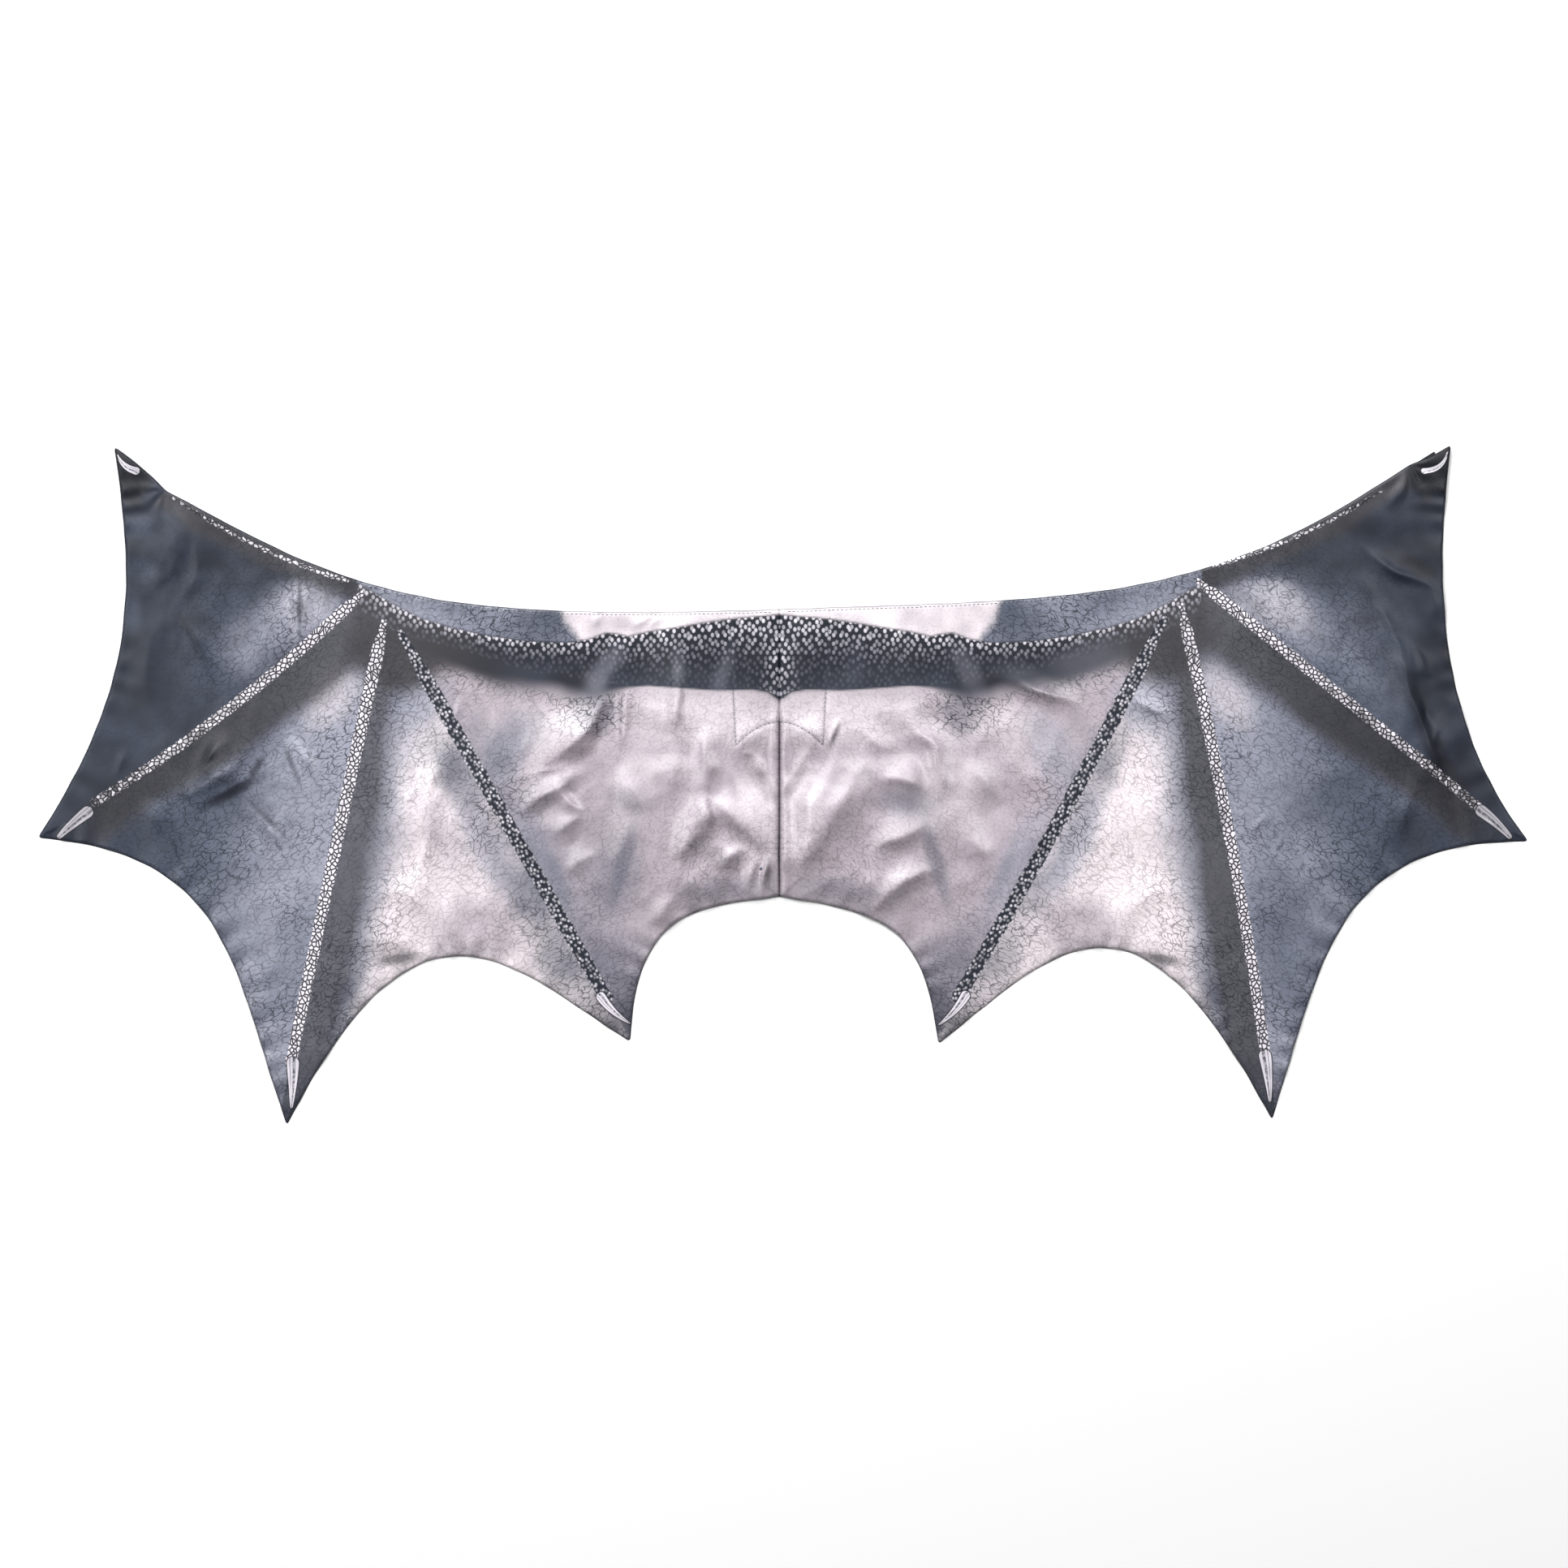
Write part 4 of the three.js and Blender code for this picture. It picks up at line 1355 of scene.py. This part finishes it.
class WINGS_OT_loops(bpy.types.Operator):
    """Builds the elastic loops behind the shoulders and the top tips"""

    bl_idname = "wings.loops"
    bl_label = "Elastic loops"

    def execute(self, context):
        material = elastic_material(context.scene.wing_paints)
        for side, loops in LOOPS.items():
            for node, loop in loops.items():
                piece = self.band(node.replace("loop", "elastic"), loop, side, material)
                finish_piece(piece, node)
        return {"FINISHED"}

    def band(self, name, loop, side, material):
        """A band pressed flat: an outer and an inner ring, swept across its width."""
        outer = self.ring(loop.length, thickness(loop))
        inner = self.ring(loop.length - 2 * ELASTIC_WALL, loop.slit)
        count = len(outer)
        corners, fields = [], []
        for ring, inward in ((outer, 1), (inner, -1)):
            along = np.cumsum(np.hypot(*np.diff(ring, axis=0, prepend=ring[:1]).T))
            for stop in np.linspace(-0.5, 0.5, BAND_STEPS) * loop.width:
                soft = inward * ELASTIC_SOFTENING * smooth(0.86, 1, abs(stop) * 2 / loop.width)
                heights = ring[:, 1] - np.sign(ring[:, 1]) * soft + thickness(loop) / 2
                corners += [(x, stop, height) for x, height in zip(ring[:, 0], heights)]
                fields += [(run, stop, 0) for run in along]
        grid = np.arange(2 * BAND_STEPS * count).reshape(2, BAND_STEPS, count)
        faces = []
        for inner in (0, 1):
            a, b = grid[inner, :-1], grid[inner, 1:]
            quads = np.stack([a, np.roll(a, -1, 1), np.roll(b, -1, 1), b], -1).reshape(-1, 4)
            faces.append(quads[:, ::-1] if inner else quads)
        for stop, turn in ((0, -1), (-1, 1)):
            a, b = grid[0, stop], grid[1, stop]
            quads = np.stack([a, np.roll(a, -1), np.roll(b, -1), b], -1)
            faces.append(quads[:, ::turn])
        corners = np.array(corners)
        spun = turned(corners[:, :2], loop.heading) + np.array(loop.middle)
        faces = np.concatenate(faces)
        if SIDES[side] > 0:
            faces = faces[:, ::-1]
        piece = new_piece(name, placed(spun, corners[:, 2], side), faces, material)
        add_field(piece.data, "band", np.array(fields, float))
        return piece

    @staticmethod
    def ring(length, height):
        """The edge view of a band pressed flat, as a closed ring of points."""
        radius = height / 2
        half = length / 2 - radius
        low = np.stack([np.linspace(-half, half, RING_STEPS), np.full(RING_STEPS, -radius)], 1)
        bend = np.radians(np.linspace(-90, 90, BEND_STEPS)[1:-1])
        right = np.stack([half + radius * np.cos(bend), radius * np.sin(bend)], 1)
        return np.concatenate([low, right, -low, -right])


class WINGS_OT_stitches(bpy.types.Operator):
    """Sews the yoke's outline and the neck edge"""

    bl_idname = "wings.stitches"
    bl_label = "Stitches"

    def execute(self, context):
        settings, paints = wing_settings(context)
        material = plain_material("sewing_thread", paints.thread, 0.6)
        tree = stitch_nodes(material, settings)
        for side in SIDES:
            border = Border(side, settings)
            neck = border.points[border.marks == NECK_EDGE][NECK_RUN]
            slope = np.gradient(neck, axis=0)
            inward = np.stack([slope[:, 1], -slope[:, 0]], 1) / np.hypot(*slope.T)[:, None]
            lines = [yoke_stitching()[YOKE_RUN], neck + NECK_INSET * inward]
            corners, edges = [], []
            for line in lines:
                top = underside(line, side, settings) + relief(line, side, border, settings)
                first = len(corners)
                corners += [tuple(p) for p in placed(line, top + STITCH_PROUD, side)]
                edges += [(v, v + 1) for v in range(first, len(corners) - 1)]
            self.sew(f"{side}_stitches", corners, edges, tree, settings)
        return {"FINISHED"}

    def sew(self, name, corners, edges, tree, settings):
        path = bpy.data.meshes.new(f"{name}_path")
        path.from_pydata(corners, edges, [])
        guide = bpy.data.objects.new(f"{name}_guide", path)
        bpy.context.scene.collection.objects.link(guide)
        modifier = guide.modifiers.new("Stitches", "NODES")
        modifier.node_group = tree
        wanted = {"Pitch": settings.stitch_pitch, "Thread": settings.thread}
        for item in tree.interface.items_tree:
            if item.item_type == "SOCKET" and item.in_out == "INPUT" and item.name in wanted:
                modifier[item.identifier] = wanted[item.name]
        graph = bpy.context.evaluated_depsgraph_get()
        mesh = bpy.data.meshes.new_from_object(guide.evaluated_get(graph))
        if not mesh.polygons:
            raise RuntimeError(f"{name} has no stitches")
        guide.modifiers.clear()
        bpy.data.objects.remove(guide)
        mesh.name = name
        piece = bpy.data.objects.new(name, mesh)
        bpy.context.scene.collection.objects.link(piece)
        finish_piece(piece, None)


def stitch_nodes(material, settings):
    """Geometry nodes that lay a row of short round stitches along a path."""
    tree = bpy.data.node_groups.new("Stitches", "GeometryNodeTree")
    face = tree.interface
    face.new_socket("Geometry", in_out="INPUT", socket_type="NodeSocketGeometry")
    pitch = face.new_socket("Pitch", in_out="INPUT", socket_type="NodeSocketFloat")
    pitch.default_value = settings.stitch_pitch
    thread = face.new_socket("Thread", in_out="INPUT", socket_type="NodeSocketFloat")
    thread.default_value = settings.thread
    face.new_socket("Geometry", in_out="OUTPUT", socket_type="NodeSocketGeometry")

    def add(kind, inputs, **choices):
        node = tree.nodes.new(kind)
        for setting, value in choices.items():
            setattr(node, setting, value)
        for key, value in inputs.items():
            if isinstance(value, bpy.types.NodeSocket):
                tree.links.new(value, node.inputs[key])
            else:
                node.inputs[key].default_value = value
        return node

    given = add("NodeGroupInput", {})
    path = add("GeometryNodeMeshToCurve", {"Mesh": given.outputs["Geometry"]})
    spacing = {"Curve": path.outputs[0], "Length": given.outputs["Pitch"]}
    stops = add("GeometryNodeResampleCurve", spacing, mode="LENGTH")
    tangent = add("GeometryNodeInputTangent", {})
    turn = add("FunctionNodeAlignRotationToVector", {"Vector": tangent.outputs[0]}, axis="X")
    ball = add("GeometryNodeMeshUVSphere", {"Segments": 8, "Rings": 6, "Radius": 0.5})
    long = add("ShaderNodeMath", {0: given.outputs["Pitch"], 1: STITCH_SHARE}, operation="MULTIPLY")
    size = add(
        "ShaderNodeCombineXYZ", {0: long.outputs[0], 1: given.outputs["Thread"], 2: given.outputs["Thread"]}
    )
    sewn = add(
        "GeometryNodeInstanceOnPoints",
        {
            "Points": stops.outputs[0],
            "Instance": ball.outputs[0],
            "Rotation": turn.outputs[0],
            "Scale": size.outputs[0],
        },
    )
    real = add("GeometryNodeRealizeInstances", {"Geometry": sewn.outputs[0]})
    coloured = add("GeometryNodeSetMaterial", {"Geometry": real.outputs[0], "Material": material})
    rounded = add("GeometryNodeSetShadeSmooth", {"Geometry": coloured.outputs[0]})
    result = add("NodeGroupOutput", {})
    tree.links.new(rounded.outputs[0], result.inputs[0])
    return tree


class WINGS_OT_stage(bpy.types.Operator):
    """Sets the floor, the lights and the camera straight above the wings"""

    bl_idname = "wings.stage"
    bl_label = "Stage"

    def execute(self, context):
        scene = context.scene
        stage = scene.wing_stage
        corners = [(-1, -1), (1, -1), (1, 1), (-1, 1)]
        square = [(x * FLOOR_REACH, y * FLOOR_REACH, 0) for x, y in corners]
        floor = new_piece("floor", square, [(0, 1, 2, 3)], plain_material("floor", stage.floor, 0.9))
        share = stage.power / len(LIGHT_BEARINGS)
        for index, bearing in enumerate(LIGHT_BEARINGS):
            ahead, aside = heading(bearing) * stage.reach
            place = (aside, ahead, stage.rise)
            self.soft_light(f"soft_light_{index}", place, stage.softness, share)
        self.soft_light("raking_light", RAKING_PLACE, stage.softness, stage.raking)
        world = bpy.data.worlds.new("studio")
        world.use_nodes = True
        world.node_tree.nodes["Background"].inputs["Color"].default_value = (1, 1, 1, 1)
        world.node_tree.nodes["Background"].inputs["Strength"].default_value = stage.sky
        scene.world = world
        lens = bpy.data.cameras.new("camera")
        lens.lens = LENS
        lens.sensor_width = SENSOR
        lens.dof.use_dof = False
        camera = bpy.data.objects.new("camera", lens)
        camera.location = (*CAMERA_PLACE, stage.height)
        scene.collection.objects.link(camera)
        scene.camera = camera
        scene.view_settings.view_transform = "Standard"
        return {"FINISHED"}

    def soft_light(self, name, location, size, power):
        lamp = bpy.data.lights.new(name, "AREA")
        lamp.size = size
        lamp.energy = power
        light = bpy.data.objects.new(name, lamp)
        light.location = location
        towards = -light.location.normalized()
        light.rotation_mode = "QUATERNION"
        light.rotation_quaternion = towards.to_track_quat("-Z", "Y")
        bpy.context.scene.collection.objects.link(light)
        return light


class WINGS_PT_panel(bpy.types.Panel):
    """Settings and steps for the dragon wings"""

    bl_idname = "WINGS_PT_panel"
    bl_label = "Dragon wings"
    bl_space_type = "VIEW_3D"
    bl_region_type = "UI"
    bl_category = "Wings"

    def draw(self, context):
        for group in (context.scene.wing_sizes, context.scene.wing_paints, context.scene.wing_stage):
            box = self.layout.box()
            for name in group.__annotations__:
                box.prop(group, name)
        for operator in STEPS:
            self.layout.operator(operator.bl_idname)


STEPS = (WINGS_OT_yoke, WINGS_OT_loops, WINGS_OT_satin, WINGS_OT_stitches, WINGS_OT_stage)
CLASSES = (WingSettings, PrintSettings, StageSettings, *STEPS, WINGS_PT_panel)


def register():
    for made in CLASSES:
        bpy.utils.register_class(made)
    bpy.types.Scene.wing_sizes = PointerProperty(type=WingSettings)
    bpy.types.Scene.wing_paints = PointerProperty(type=PrintSettings)
    bpy.types.Scene.wing_stage = PointerProperty(type=StageSettings)


def unregister():
    del bpy.types.Scene.wing_stage
    del bpy.types.Scene.wing_paints
    del bpy.types.Scene.wing_sizes
    for made in reversed(CLASSES):
        bpy.utils.unregister_class(made)


def main():
    register()
    bpy.ops.wings.yoke()
    bpy.ops.wings.loops()
    bpy.ops.wings.satin()
    bpy.ops.wings.stitches()
    bpy.ops.wings.stage()


if __name__ == "__main__":
    main()
